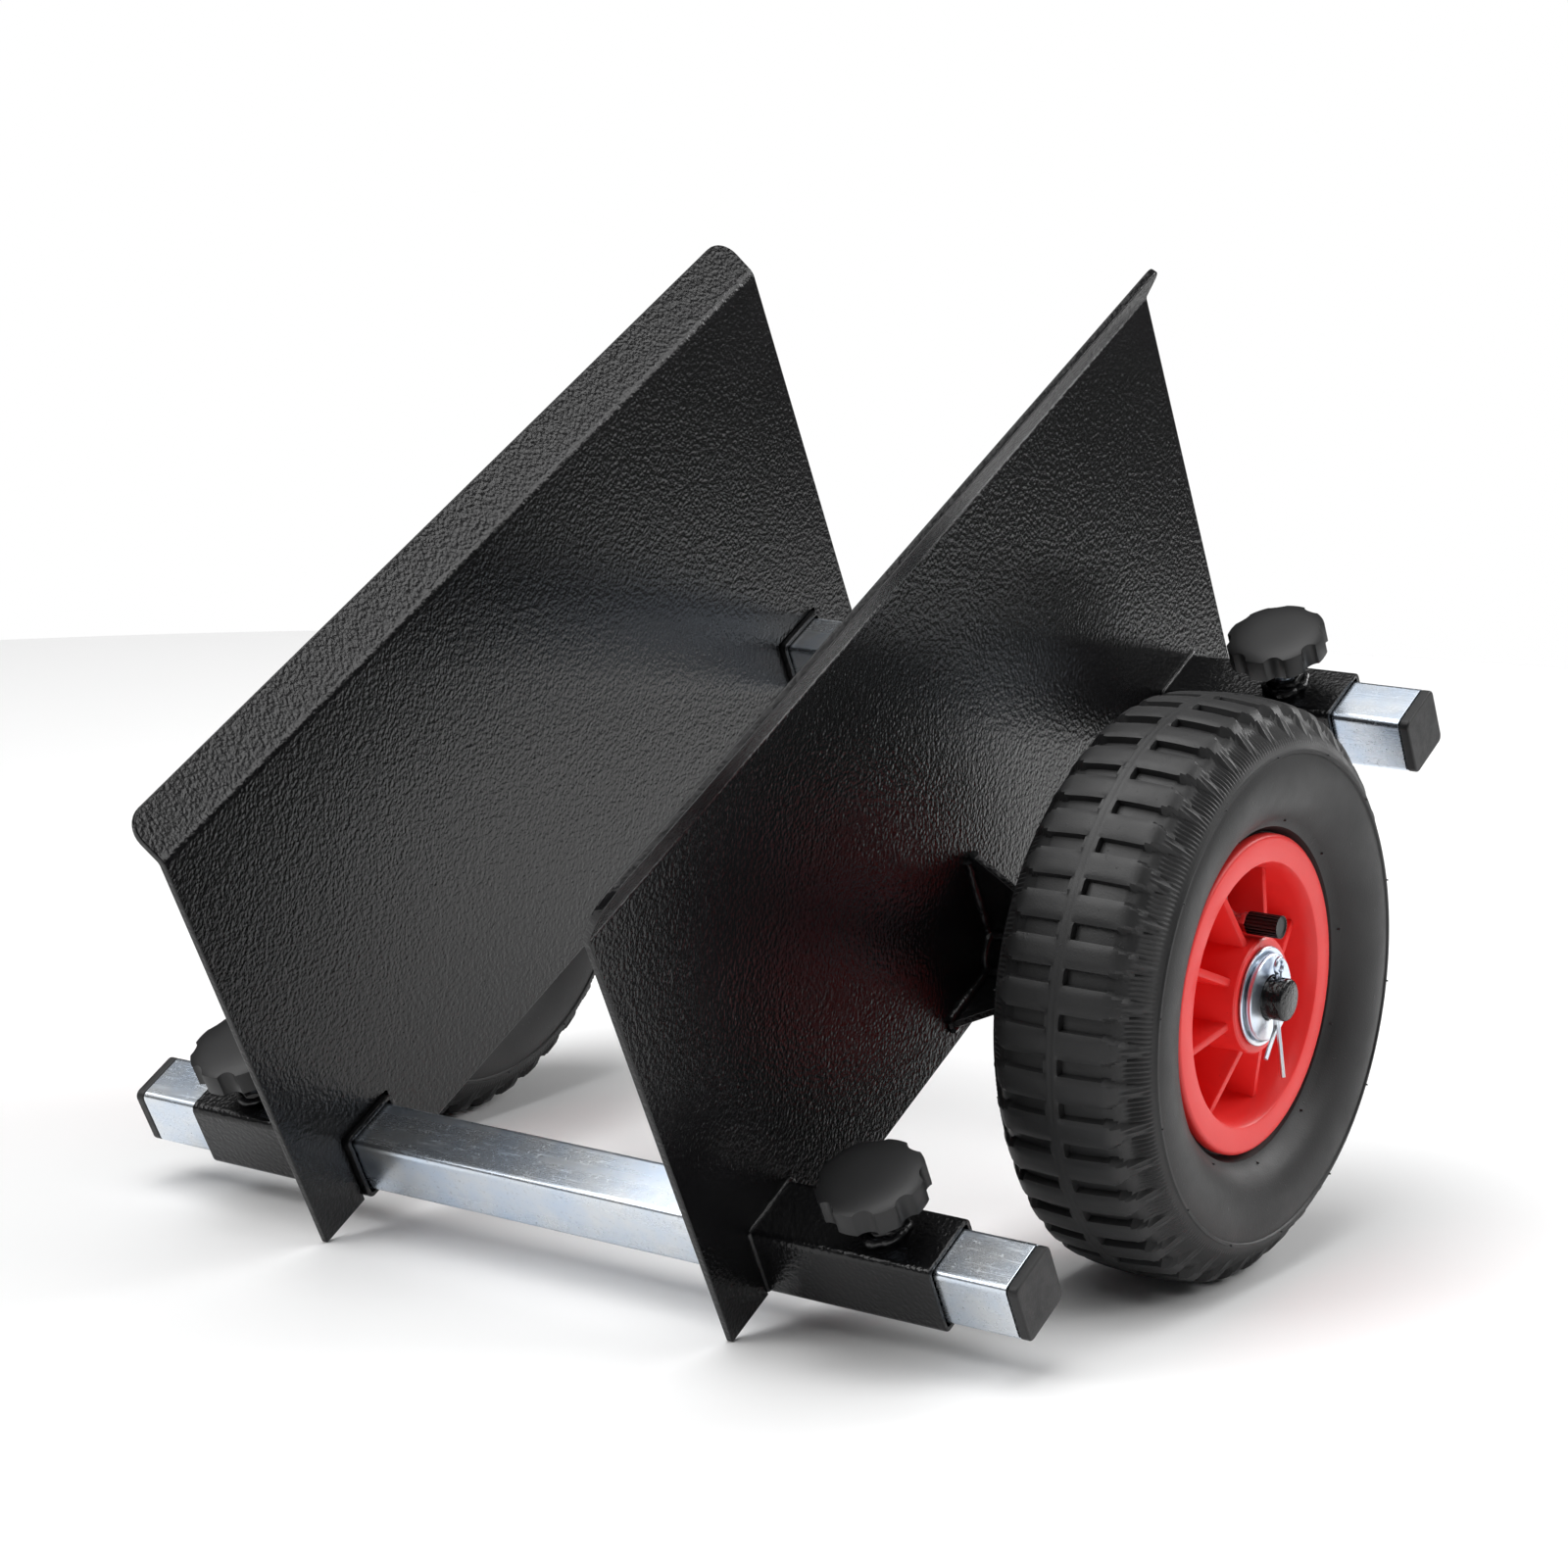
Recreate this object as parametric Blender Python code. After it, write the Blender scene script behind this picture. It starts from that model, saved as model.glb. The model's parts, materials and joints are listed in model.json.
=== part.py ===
"""Adjustable two-wheel panel dolly.

Two cheek plates slide on two square rails and clamp a panel between them.  Each plate carries
two square sleeves with clamp knobs and a stub axle with a pneumatic wheel.  The dolly stands
the way it rests when it is put down: on both tyres and on the plates' front lower corners.

Body frame: X across the dolly, Y towards the rear, Z up from the plates' lower edges, with the
axle line at Y = 0.  The body frame is then tipped forwards onto the floor.  All sizes in metres.
"""
import math

import bmesh
import bpy
from mathutils import Matrix, Vector

# Cheek plates
PLATE_LENGTH = 0.412
PLATE_HEIGHT = 0.183
PLATE_THICKNESS = 0.003
PLATE_GAP = 0.186
FLANGE_LENGTH = 0.018
FLANGE_ANGLE = math.radians(35.0)
FLANGE_CORNER = 0.010
BEND_RADIUS = 0.007
BEND_STEPS = 4
CORNER_STEPS = 4

# Rails, sleeves and end caps
RAIL_LENGTH = 0.400
RAIL_SIZE = 0.025
RAIL_WALL = 0.0015
RAIL_CORNER = 0.0025
RAIL_INSET = 0.0405
SLEEVE_SLACK = 0.0005
SLEEVE_WALL = 0.002
SLEEVE_CORNER = 0.003
SLEEVE_REACH = 0.075
SLEEVE_LIP = 0.0025
CAP_HEAD = 0.004
CAP_PLUG = 0.016
CAP_WALL = 0.002
CAP_CHAMFER = 0.001

# Clamp knobs
KNOB_SETBACK = 0.025
KNOB_RADIUS = 0.020
KNOB_THICKNESS = 0.009
KNOB_CROWN = 0.002
KNOB_CROWN_STEPS = ((0.12, 0.6), (0.35, 0.4))
KNOB_LOBES = 8
KNOB_FLUTE = 0.0022
KNOB_BOSS_RADIUS = 0.008
KNOB_BOSS_HEIGHT = 0.003
KNOB_SOCKET_DEPTH = 0.008
KNOB_STANDOFF = 0.0080
STUD_RADIUS = 0.004
NUT_ACROSS_FLATS = 0.013
NUT_HEIGHT = 0.005

# Axles and their gusset webs
AXLE_HEIGHT = 0.0146
AXLE_RADIUS = 0.008
AXLE_SHOULDER_RADIUS = 0.010
AXLE_NOSE = 0.0072
AXLE_CHAMFER = 0.0012
WEB_THICKNESS = 0.003
WEB_TIP = 0.003
UPRIGHT_WEB_HEIGHT = 0.047
UPRIGHT_WEB_REACH = 0.042
LEVEL_WEB_LENGTH = 0.041
LEVEL_WEB_REACH = 0.034
LEVEL_WEB_DROP = 0.0045

# Wheels
WHEEL_OFFSET = 0.0883
TYRE_RADIUS = 0.110
TYRE_HALF_WIDTH = 0.034
TYRE_WALL = 0.006
TREAD_SHARE = 0.58
SIDEWALL_BAND = 1.6  # height of the straight sidewall, in wall thicknesses
CROWN_DROP = 0.5  # fall from the middle of the tread to its edges, in wall thicknesses
INNER_CROWN_SHARE = 0.8  # width of the flat inside the crown, against the one outside
INNER_SHOULDER = 1.3  # wall at the shoulder, in wall thicknesses
BEAD_RISE = 1.2  # height of the bead's foot inside, in wall thicknesses
SHOULDER_ROUND = 0.0036
RIM_FLANGE_RADIUS = 0.0603
RIM_SEAT_RADIUS = 0.0508
RIM_HALF_WIDTH = 0.0245
RIM_FLANGE_THICKNESS = 0.005
RIM_WALL = 0.0035
RIM_EDGE_SHARE = 0.3  # flange's rounded edge, against its thickness
RIM_BARREL_FLARE = 0.4  # how far the barrel swells at the disc, in walls
RIM_LIP_DEPTH = 0.25  # depth of the flange's step below the bead seat, in walls
RIM_DISC = 0.005
RIM_RIBS = 8
RIB_THICKNESS = 0.0035
RIB_HUB_HALF_DEPTH = 0.0235
RIB_WALL_HALF_DEPTH = 0.0150
HUB_RADIUS = 0.0218
HUB_HALF_LENGTH = 0.0262
HUB_CORE_RADIUS = 0.012
BEARING_RADIUS = 0.0175
BEARING_WIDTH = 0.011
BEARING_FLANGE_RADIUS = 0.0188
BEARING_FLANGE = 0.0012
RACE_RADIUS = 0.0125
WASHER_RADIUS = 0.0163
WASHER_THICKNESS = 0.0022
TUBE_WALL = 0.0016
VALVE_RADIUS = 0.0030
VALVE_ORBIT = 0.0270
VALVE_BEND = 0.008
VALVE_INSET = 0.0080
VALVE_CAP_RADIUS = 0.0043
VALVE_CAP_LENGTH = 0.013
VALVE_CAP_REACH = 0.0332
PIN_WIRE = 0.00085
PIN_PITCH = 0.0010
PIN_LOOP_RADIUS = 0.00275
PIN_LONG_LEG = 0.030
PIN_SHORT_LEG = 0.022
PIN_LEAN = 0.003
PIN_SPLAY = math.radians(45.0)
PIN_HOLE_RADIUS = 0.0023

# Clearance left between neighbours that touch
GAP = 0.0003

# Corners closer than this are one corner
MERGE = 0.00001

# Facets round the turned pieces
TYRE_SEGMENTS = 32
RIM_SEGMENTS = 24
TUBE_SEGMENTS = 16
SMALL_SEGMENTS = 16
STUD_SEGMENTS = 12

SLEEVE_SIZE = RAIL_SIZE + 2 * (SLEEVE_SLACK + SLEEVE_WALL)
SLEEVE_BORE = RAIL_SIZE + 2 * SLEEVE_SLACK
RAIL_HEIGHT = SLEEVE_SIZE / 2
RAIL_TOP = RAIL_HEIGHT + RAIL_SIZE / 2
PLATE_OUTER = PLATE_GAP / 2 + PLATE_THICKNESS
KNOB_X = PLATE_OUTER + SLEEVE_REACH - KNOB_SETBACK
RAIL_Y = {"front": RAIL_INSET - PLATE_LENGTH / 2, "rear": PLATE_LENGTH / 2 - RAIL_INSET}
TILT = (math.asin(TYRE_RADIUS / math.hypot(PLATE_LENGTH / 2, AXLE_HEIGHT))
        - math.atan2(AXLE_HEIGHT, PLATE_LENGTH / 2))
SIDES = {"left": -1, "right": 1}

FINISHES = {
    "black_steel": ((0.012, 0.012, 0.013), 0.28, 0.0),
    "zinc_steel": ((0.62, 0.65, 0.68), 0.30, 1.0),
    "black_plastic": ((0.020, 0.020, 0.021), 0.45, 0.0),
    "cap_plastic": ((0.030, 0.030, 0.030), 0.55, 0.0),
    "tyre_rubber": ((0.024, 0.024, 0.024), 0.70, 0.0),
    "tube_rubber": ((0.016, 0.016, 0.016), 0.60, 0.0),
    "red_plastic": ((0.620, 0.014, 0.016), 0.38, 0.0),
    "bearing_steel": ((0.55, 0.56, 0.58), 0.25, 1.0),
}


def clear_scene():
    for item in list(bpy.data.objects):
        bpy.data.objects.remove(item)


def make_materials():
    materials = {}
    for name, (colour, roughness, metallic) in FINISHES.items():
        material = bpy.data.materials.new(name)
        material.use_nodes = True
        shader = material.node_tree.nodes["Principled BSDF"]
        shader.inputs["Base Color"].default_value = (*colour, 1.0)
        shader.inputs["Roughness"].default_value = roughness
        shader.inputs["Metallic"].default_value = metallic
        materials[name] = material
    return materials


def make_empty(name, parent=None, location=(0, 0, 0), turn=0.0):
    empty = bpy.data.objects.new(name, None)
    bpy.context.collection.objects.link(empty)
    empty.parent = parent
    empty.location = location
    empty.rotation_euler = (turn, 0, 0)
    return empty


def finish_mesh(bm, name, side=1):
    """Make a mesh, mirrored across X for the left side, with smooth sides and sharp edges."""
    if side < 0:
        bmesh.ops.scale(bm, vec=(-1, 1, 1), verts=bm.verts)
        bmesh.ops.reverse_faces(bm, faces=bm.faces)
    mesh = bpy.data.meshes.new(name)
    bm.to_mesh(mesh)
    bm.free()
    mesh.shade_smooth()
    mesh.set_sharp_from_angle(angle=math.radians(35))
    return mesh


def place(name, mesh, material, parent, location=(0, 0, 0)):
    piece = bpy.data.objects.new(name, mesh)
    bpy.context.collection.objects.link(piece)
    mesh.materials.append(material)
    piece.parent = parent
    piece.location = location
    return piece


def rounded_square(size, corner, steps=3):
    """Outline of a square with round corners, centred, anticlockwise."""
    points = []
    reach = size / 2 - corner
    for quarter, (sx, sy) in enumerate([(1, 1), (-1, 1), (-1, -1), (1, -1)]):
        for step in range(steps + 1):
            angle = math.pi / 2 * (quarter + step / steps)
            points.append((sx * reach + corner * math.cos(angle), sy * reach + corner * math.sin(angle)))
    return points


def arc(centre, radius, start, end, steps):
    """Points on an arc, ends included, angles in degrees."""
    angles = [math.radians(start + (end - start) * step / steps) for step in range(steps + 1)]
    return [(centre[0] + radius * math.cos(a), centre[1] + radius * math.sin(a)) for a in angles]


def prism(points, to_space, travel):
    """Solid made by extruding an outline; to_space turns a 2-D point into a place."""
    bm = bmesh.new()
    face = bm.faces.new([bm.verts.new(to_space(*point)) for point in points])
    extruded = bmesh.ops.extrude_face_region(bm, geom=[face], use_keep_orig=True)
    moved = [item for item in extruded["geom"] if isinstance(item, bmesh.types.BMVert)]
    bmesh.ops.translate(bm, vec=travel, verts=moved)
    bmesh.ops.recalc_face_normals(bm, faces=bm.faces)
    return bm


def skin(bm, rings):
    """Join each ring of points to the next with a band of quads; returns the rings' corners."""
    corners = [[bm.verts.new(point) for point in points] for points in rings]
    for first, second in zip(corners, corners[1:]):
        for i in range(len(first)):
            bm.faces.new((first[i - 1], first[i], second[i], second[i - 1]))
    return corners


def square_tube(outer, inner, start, end):
    """Square tube along X between two rounded outlines, open at both ends."""
    bm = bmesh.new()
    route = [(start, outer), (end, outer), (end, inner), (start, inner), (start, outer)]
    skin(bm, [[(x, y, z) for y, z in outline] for x, outline in route])
    bmesh.ops.remove_doubles(bm, verts=bm.verts, dist=MERGE)
    bmesh.ops.recalc_face_normals(bm, faces=bm.faces)
    return bm


def turned(profile, segments, axis="X", start=0.0):
    """Solid turned from a closed outline of (along, radius) points about X or Z."""
    bm = bmesh.new()
    spot = Matrix.Rotation(start, 3, axis)
    if axis == "X":
        places = [spot @ Vector((along, 0, radius)) for along, radius in profile]
        spindle = (1, 0, 0)
    else:
        places = [spot @ Vector((radius, 0, along)) for along, radius in profile]
        spindle = (0, 0, 1)
    verts = [bm.verts.new(place_) for place_ in places]
    edges = []
    for i, vert in enumerate(verts):
        both_on_axis = profile[i][1] == 0 and profile[i - 1][1] == 0
        if not both_on_axis:
            edges.append(bm.edges.new((verts[i - 1], vert)))
    bmesh.ops.spin(bm, geom=verts + edges, cent=(0, 0, 0), axis=spindle, angle=2 * math.pi,
                   steps=segments, use_merge=True)
    bmesh.ops.remove_doubles(bm, verts=bm.verts, dist=MERGE)
    bmesh.ops.recalc_face_normals(bm, faces=bm.faces)
    return bm


def ring(start, end, inner, outer, segments, axis="X"):
    return turned([(start, inner), (end, inner), (end, outer), (start, outer)], segments, axis)


def rod(start, end, radius, segments, axis="X"):
    return turned([(start, 0), (end, 0), (end, radius), (start, radius)], segments, axis)


def cut(piece, bm, name, operation="DIFFERENCE"):
    """Add a Boolean with a hidden helper that shares the piece's parent and place."""
    helper = bpy.data.objects.new(name, finish_mesh(bm, name))
    bpy.context.collection.objects.link(helper)
    helper.parent = piece.parent
    helper.location = piece.location
    helper.hide_render = True
    helper.display_type = "WIRE"
    modifier = piece.modifiers.new(name, "BOOLEAN")
    modifier.operation = operation
    modifier.solver = "EXACT"
    modifier.object = helper


def wire(name, points, radius, material, parent, location, resolution=1):
    """Round wire or pipe along a polyline, with closed ends."""
    curve = bpy.data.curves.new(name, "CURVE")
    curve.dimensions = "3D"
    curve.bevel_depth = radius
    curve.bevel_resolution = resolution
    curve.use_fill_caps = True
    spline = curve.splines.new("POLY")
    spline.points.add(len(points) - 1)
    for spot, point in zip(spline.points, points):
        spot.co = (*point, 1.0)
    curve.materials.append(material)
    piece = bpy.data.objects.new(name, curve)
    bpy.context.collection.objects.link(piece)
    piece.parent = parent
    piece.location = location
    return piece


def plate_outline():
    """Unfolded cheek plate as (along Y, up the sheet), with sleeve notches and round top corners."""
    half = PLATE_LENGTH / 2
    top = unfolded_height()
    notch = SLEEVE_SIZE / 2 + GAP
    notch_top = SLEEVE_SIZE + GAP
    points = [(-half, 0)]
    for y in (RAIL_Y["front"], RAIL_Y["rear"]):
        points += [(y - notch, 0), (y - notch, notch_top), (y + notch, notch_top), (y + notch, 0)]
    points.append((half, 0))
    corner = FLANGE_CORNER
    points += arc((half - corner, top - corner), corner, 0, 90, CORNER_STEPS)
    points += arc((corner - half, top - corner), corner, 90, 180, CORNER_STEPS)
    return points


def unfolded_height():
    return PLATE_HEIGHT + BEND_RADIUS * FLANGE_ANGLE + FLANGE_LENGTH


def fold(point):
    """Fold the unfolded sheet: x is depth from the inner face, z is distance up the inner face."""
    depth, y, up = point
    turn = min(max((up - PLATE_HEIGHT) / BEND_RADIUS, 0.0), FLANGE_ANGLE)
    straight = max(up - PLATE_HEIGHT - BEND_RADIUS * FLANGE_ANGLE, 0.0)
    x = BEND_RADIUS - (BEND_RADIUS - depth) * math.cos(turn) + straight * math.sin(turn)
    z = min(up, PLATE_HEIGHT) + (BEND_RADIUS - depth) * math.sin(turn) + straight * math.cos(turn)
    return Vector((x, y, z))


def make_plate(name, side, material, parent):
    bm = prism(plate_outline(), lambda y, up: Vector((0, y, up)), (PLATE_THICKNESS, 0, 0))
    for step in range(BEND_STEPS + 1):
        level = PLATE_HEIGHT + BEND_RADIUS * FLANGE_ANGLE * step / BEND_STEPS
        geom = bm.verts[:] + bm.edges[:] + bm.faces[:]
        bmesh.ops.bisect_plane(bm, geom=geom, plane_co=(0, 0, level), plane_no=(0, 0, 1))
    for vert in bm.verts:
        vert.co = fold(vert.co)
    mesh = finish_mesh(bm, name, side)
    return place(name, mesh, material, parent, (side * PLATE_GAP / 2, 0, 0))


def make_sleeve(name, end, side, material, parent):
    outer = rounded_square(SLEEVE_SIZE, SLEEVE_CORNER)
    inner = rounded_square(SLEEVE_BORE, SLEEVE_CORNER - SLEEVE_WALL)
    start = PLATE_GAP / 2 - SLEEVE_LIP
    finish = PLATE_OUTER + SLEEVE_REACH
    mesh = finish_mesh(square_tube(outer, inner, start, finish), name, side)
    piece = place(name, mesh, material, parent, (0, RAIL_Y[end], RAIL_HEIGHT))
    bore = rod(SLEEVE_BORE / 2 - SLEEVE_WALL, SLEEVE_SIZE, STUD_RADIUS + GAP, STUD_SEGMENTS, "Z")
    bmesh.ops.translate(bore, vec=(side * KNOB_X, 0, 0), verts=bore.verts)
    cut(piece, bore, name + "_bore")
    return piece


def make_nut(name, end, side, material, parent):
    across_corners = NUT_ACROSS_FLATS / math.cos(math.pi / 6)
    points = arc((0, 0), across_corners / 2, 0, 300, 5)
    bm = prism(points, lambda x, y: Vector((x, y, 0)), (0, 0, NUT_HEIGHT))
    location = (side * KNOB_X, RAIL_Y[end], SLEEVE_SIZE + GAP)
    piece = place(name, finish_mesh(bm, name), material, parent, location)
    bore = rod(-NUT_HEIGHT, 2 * NUT_HEIGHT, STUD_RADIUS + GAP, STUD_SEGMENTS, "Z")
    cut(piece, bore, name + "_bore")
    return piece


def knob_outline(radius, points_per_lobe=6):
    """Lobed outline: broad lobes parted by narrow flutes."""
    count = KNOB_LOBES * points_per_lobe
    points = []
    for step in range(count):
        angle = 2 * math.pi * step / count
        flute = KNOB_FLUTE * ((1 + math.cos(KNOB_LOBES * angle)) / 2) ** 2
        points.append(((radius - flute) * math.cos(angle), (radius - flute) * math.sin(angle)))
    return points


def knob_base():
    """Height of the knob head's underside above the plates' lower edges."""
    return SLEEVE_SIZE + GAP + NUT_HEIGHT + KNOB_STANDOFF + KNOB_BOSS_HEIGHT


def make_knob(name, end, side, materials, parent):
    """Knob head and threaded stud; both origins lie on the clamp's screw axis."""
    screw = make_empty(name + "_screw_axis", parent, (side * KNOB_X, RAIL_Y[end], 0))
    base = knob_base()
    lobed = knob_outline(KNOB_RADIUS)
    head_bm = prism(lobed, lambda x, y: Vector((x, y, base)), (0, 0, KNOB_THICKNESS))
    top = max(head_bm.faces, key=lambda face: face.calc_center_median().z)
    for share, rise in KNOB_CROWN_STEPS:
        bmesh.ops.inset_region(head_bm, faces=[top], thickness=KNOB_RADIUS * share, use_even_offset=False)
        bmesh.ops.translate(head_bm, vec=(0, 0, KNOB_CROWN * rise), verts=top.verts)
    head = place(name + "_head", finish_mesh(head_bm, name + "_head"), materials["black_plastic"], screw)
    boss = rod(base - KNOB_BOSS_HEIGHT, base + KNOB_BOSS_HEIGHT, KNOB_BOSS_RADIUS, SMALL_SEGMENTS, "Z")
    cut(head, boss, name + "_boss", "UNION")
    socket_top = base - KNOB_BOSS_HEIGHT + KNOB_SOCKET_DEPTH
    socket = rod(base - 2 * KNOB_BOSS_HEIGHT, socket_top, STUD_RADIUS + GAP, STUD_SEGMENTS, "Z")
    cut(head, socket, name + "_socket")
    chamfer = STUD_RADIUS / 4
    foot = RAIL_TOP + GAP
    tip = socket_top - GAP
    profile = [(foot, 0), (tip, 0), (tip, STUD_RADIUS), (foot + chamfer, STUD_RADIUS),
               (foot, STUD_RADIUS - chamfer)]
    stud_bm = turned(profile, STUD_SEGMENTS, "Z")
    place(name + "_stud", finish_mesh(stud_bm, name + "_stud"), materials["zinc_steel"], screw)


def make_rail(name, end, materials, parent):
    outer = rounded_square(RAIL_SIZE, RAIL_CORNER)
    inner = rounded_square(RAIL_SIZE - 2 * RAIL_WALL, RAIL_CORNER - RAIL_WALL)
    bm = square_tube(outer, inner, -RAIL_LENGTH / 2, RAIL_LENGTH / 2)
    where = (0, RAIL_Y[end], RAIL_HEIGHT)
    place(name, finish_mesh(bm, name), materials["zinc_steel"], parent, where)
    for side_name, side in SIDES.items():
        cap_name = f"{end}_{side_name}_end_cap"
        make_end_cap(cap_name, side, materials["cap_plastic"], parent, where)


def make_end_cap(name, side, material, parent, where):
    """Cap with a chamfered head as wide as the rail and a hollow plug inside the rail."""
    plug_size = RAIL_SIZE - 2 * RAIL_WALL - 2 * GAP
    plug_corner = RAIL_CORNER - RAIL_WALL
    start = RAIL_LENGTH / 2 + GAP
    head_end = start + CAP_HEAD
    hollow_size = plug_size - 2 * CAP_WALL
    sections = [
        (start - CAP_WALL, hollow_size, plug_corner),
        (start - CAP_PLUG, hollow_size, plug_corner),
        (start - CAP_PLUG, plug_size, plug_corner),
        (start, plug_size, plug_corner),
        (start, RAIL_SIZE, RAIL_CORNER),
        (head_end - CAP_CHAMFER, RAIL_SIZE, RAIL_CORNER),
        (head_end, RAIL_SIZE - 2 * CAP_CHAMFER, RAIL_CORNER),
    ]
    bm = bmesh.new()
    rings = [[(x, y, z) for y, z in rounded_square(size, corner)] for x, size, corner in sections]
    corners = skin(bm, rings)
    bm.faces.new(corners[0])
    bm.faces.new(corners[-1])
    bmesh.ops.recalc_face_normals(bm, faces=bm.faces)
    return place(name, finish_mesh(bm, name, side), material, parent, where)


def make_webs(side_name, side, material, parent):
    """Triangular webs that brace the axle against the plate: one upright, two level."""
    root = GAP
    clear = AXLE_SHOULDER_RADIUS + GAP
    drop = LEVEL_WEB_DROP
    beside = math.sqrt(clear ** 2 - (drop - WEB_THICKNESS / 2) ** 2)
    half = WEB_THICKNESS / 2
    where = (side * PLATE_OUTER, 0, AXLE_HEIGHT)
    upright = [(root, clear), (UPRIGHT_WEB_REACH, clear), (UPRIGHT_WEB_REACH, clear + WEB_TIP),
               (root + WEB_TIP, UPRIGHT_WEB_HEIGHT), (root, UPRIGHT_WEB_HEIGHT)]
    bm = prism(upright, lambda x, z: Vector((x, -half, z)), (0, WEB_THICKNESS, 0))
    name = side_name + "_upright_axle_web"
    place(name, finish_mesh(bm, name, side), material, parent, where)
    for end, way in (("front", -1), ("rear", 1)):
        level = [(root, beside), (LEVEL_WEB_REACH, beside), (LEVEL_WEB_REACH, beside + WEB_TIP),
                 (root + WEB_TIP, LEVEL_WEB_LENGTH), (root, LEVEL_WEB_LENGTH)]
        bm = prism(level, lambda x, y: Vector((x, way * y, -drop - half)), (0, 0, WEB_THICKNESS))
        name = f"{side_name}_{end}_axle_web"
        place(name, finish_mesh(bm, name, side), material, parent, where)


def hub_face():
    """Distance from the wheel's middle plane to the outer face of a bearing's flange."""
    return HUB_HALF_LENGTH + GAP + BEARING_FLANGE


def pin_plane():
    """Distance from the wheel's middle plane to the cotter pin's plane."""
    return hub_face() + 2 * GAP + WASHER_THICKNESS + PIN_HOLE_RADIUS


def make_axle(side_name, side, material, parent):
    """Stub axle with a shoulder inboard, a chamfered nose and a cross hole for the cotter pin."""
    name = side_name + "_axle"
    shoulder = -hub_face() - 2 * GAP - WASHER_THICKNESS
    nose = pin_plane() - PIN_HOLE_RADIUS + AXLE_NOSE
    root = GAP - WHEEL_OFFSET
    profile = [
        (root, 0),
        (nose, 0),
        (nose, AXLE_RADIUS - AXLE_CHAMFER),
        (nose - AXLE_CHAMFER, AXLE_RADIUS),
        (shoulder, AXLE_RADIUS),
        (shoulder, AXLE_SHOULDER_RADIUS),
        (root, AXLE_SHOULDER_RADIUS),
    ]
    piece = place(name, finish_mesh(turned(profile, SMALL_SEGMENTS), name, side), material, parent)
    hole = rod(-2 * AXLE_RADIUS, 2 * AXLE_RADIUS, PIN_HOLE_RADIUS, STUD_SEGMENTS, "Z")
    bmesh.ops.translate(hole, vec=(side * pin_plane(), 0, 0), verts=hole.verts)
    cut(piece, hole, name + "_pin_hole")
    return piece


def make_washers(side_name, side, material, parent):
    outer = hub_face() + GAP
    for which, start in (("outer", outer), ("inner", -outer - WASHER_THICKNESS)):
        name = f"{side_name}_{which}_washer"
        bm = ring(start, start + WASHER_THICKNESS, AXLE_RADIUS + GAP, WASHER_RADIUS, SMALL_SEGMENTS)
        place(name, finish_mesh(bm, name, side), material, parent)


def make_cotter_pin(side_name, side, material, parent):
    """Split pin: two legs through the axle and an eye above it.

    Below the axle the legs spread, and both lean outwards to pass clear of the valve cap.
    """
    name = side_name + "_cotter_pin"
    eye = AXLE_RADIUS + PIN_LOOP_RADIUS + 2 * PIN_WIRE
    below = -AXLE_RADIUS - PIN_WIRE
    neck = math.degrees(math.acos(PIN_PITCH / PIN_LOOP_RADIUS))
    route = [(1.5 * PIN_PITCH, -PIN_LONG_LEG), (PIN_PITCH, below)]
    route += arc((0, eye), PIN_LOOP_RADIUS, -neck, 180 + neck, 10)
    route += [(-PIN_PITCH, below), (-3 * PIN_PITCH, below - 2 * PIN_PITCH)]
    bend = Vector(route[-1])
    spread = Vector((-math.sin(PIN_SPLAY), -math.cos(PIN_SPLAY)))
    route.append(tuple(bend + (PIN_SHORT_LEG + bend.y) * spread))
    lean = PIN_LEAN / (PIN_LONG_LEG + below)
    points = [(side * (pin_plane() + lean * max(below - z, 0)), y, z) for y, z in route]
    return wire(name, points, PIN_WIRE, material, parent, (0, 0, 0))


def tyre_profile():
    """Casing outline as (across, radius): beads, sidewalls and a round crown, hollow inside."""
    bead_face = RIM_HALF_WIDTH - RIM_FLANGE_THICKNESS - GAP
    bead_radius = RIM_SEAT_RADIUS + GAP
    lip = RIM_FLANGE_RADIUS + 2 * GAP
    wall = TYRE_WALL
    side_radius = (lip + TYRE_RADIUS) / 2 - wall / 2
    shoulder_radius = TYRE_RADIUS - 2 * wall
    shoulder = TYRE_HALF_WIDTH - SHOULDER_ROUND
    crown = TYRE_HALF_WIDTH * TREAD_SHARE
    outer = [
        (bead_face, bead_radius),
        (bead_face, lip - 2 * GAP),
        (bead_face + RIM_FLANGE_THICKNESS, lip + 2 * GAP),
        (shoulder, lip + wall),
        (TYRE_HALF_WIDTH, side_radius),
        (TYRE_HALF_WIDTH, side_radius + SIDEWALL_BAND * wall),
        (shoulder, shoulder_radius),
        (crown, TYRE_RADIUS - CROWN_DROP * wall),
        (crown / 2, TYRE_RADIUS),
    ]
    inner = [
        (crown * INNER_CROWN_SHARE, TYRE_RADIUS - wall),
        (TYRE_HALF_WIDTH - INNER_SHOULDER * wall, shoulder_radius - wall / 2),
        (TYRE_HALF_WIDTH - wall, side_radius),
        (shoulder - wall, lip + BEAD_RISE * wall),
        (bead_face - wall, lip),
        (bead_face - wall, bead_radius),
    ]
    mirrored = [(-across, radius) for across, radius in reversed(outer)]
    mirrored_inner = [(-across, radius) for across, radius in reversed(inner)]
    return outer + mirrored + mirrored_inner + inner


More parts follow.
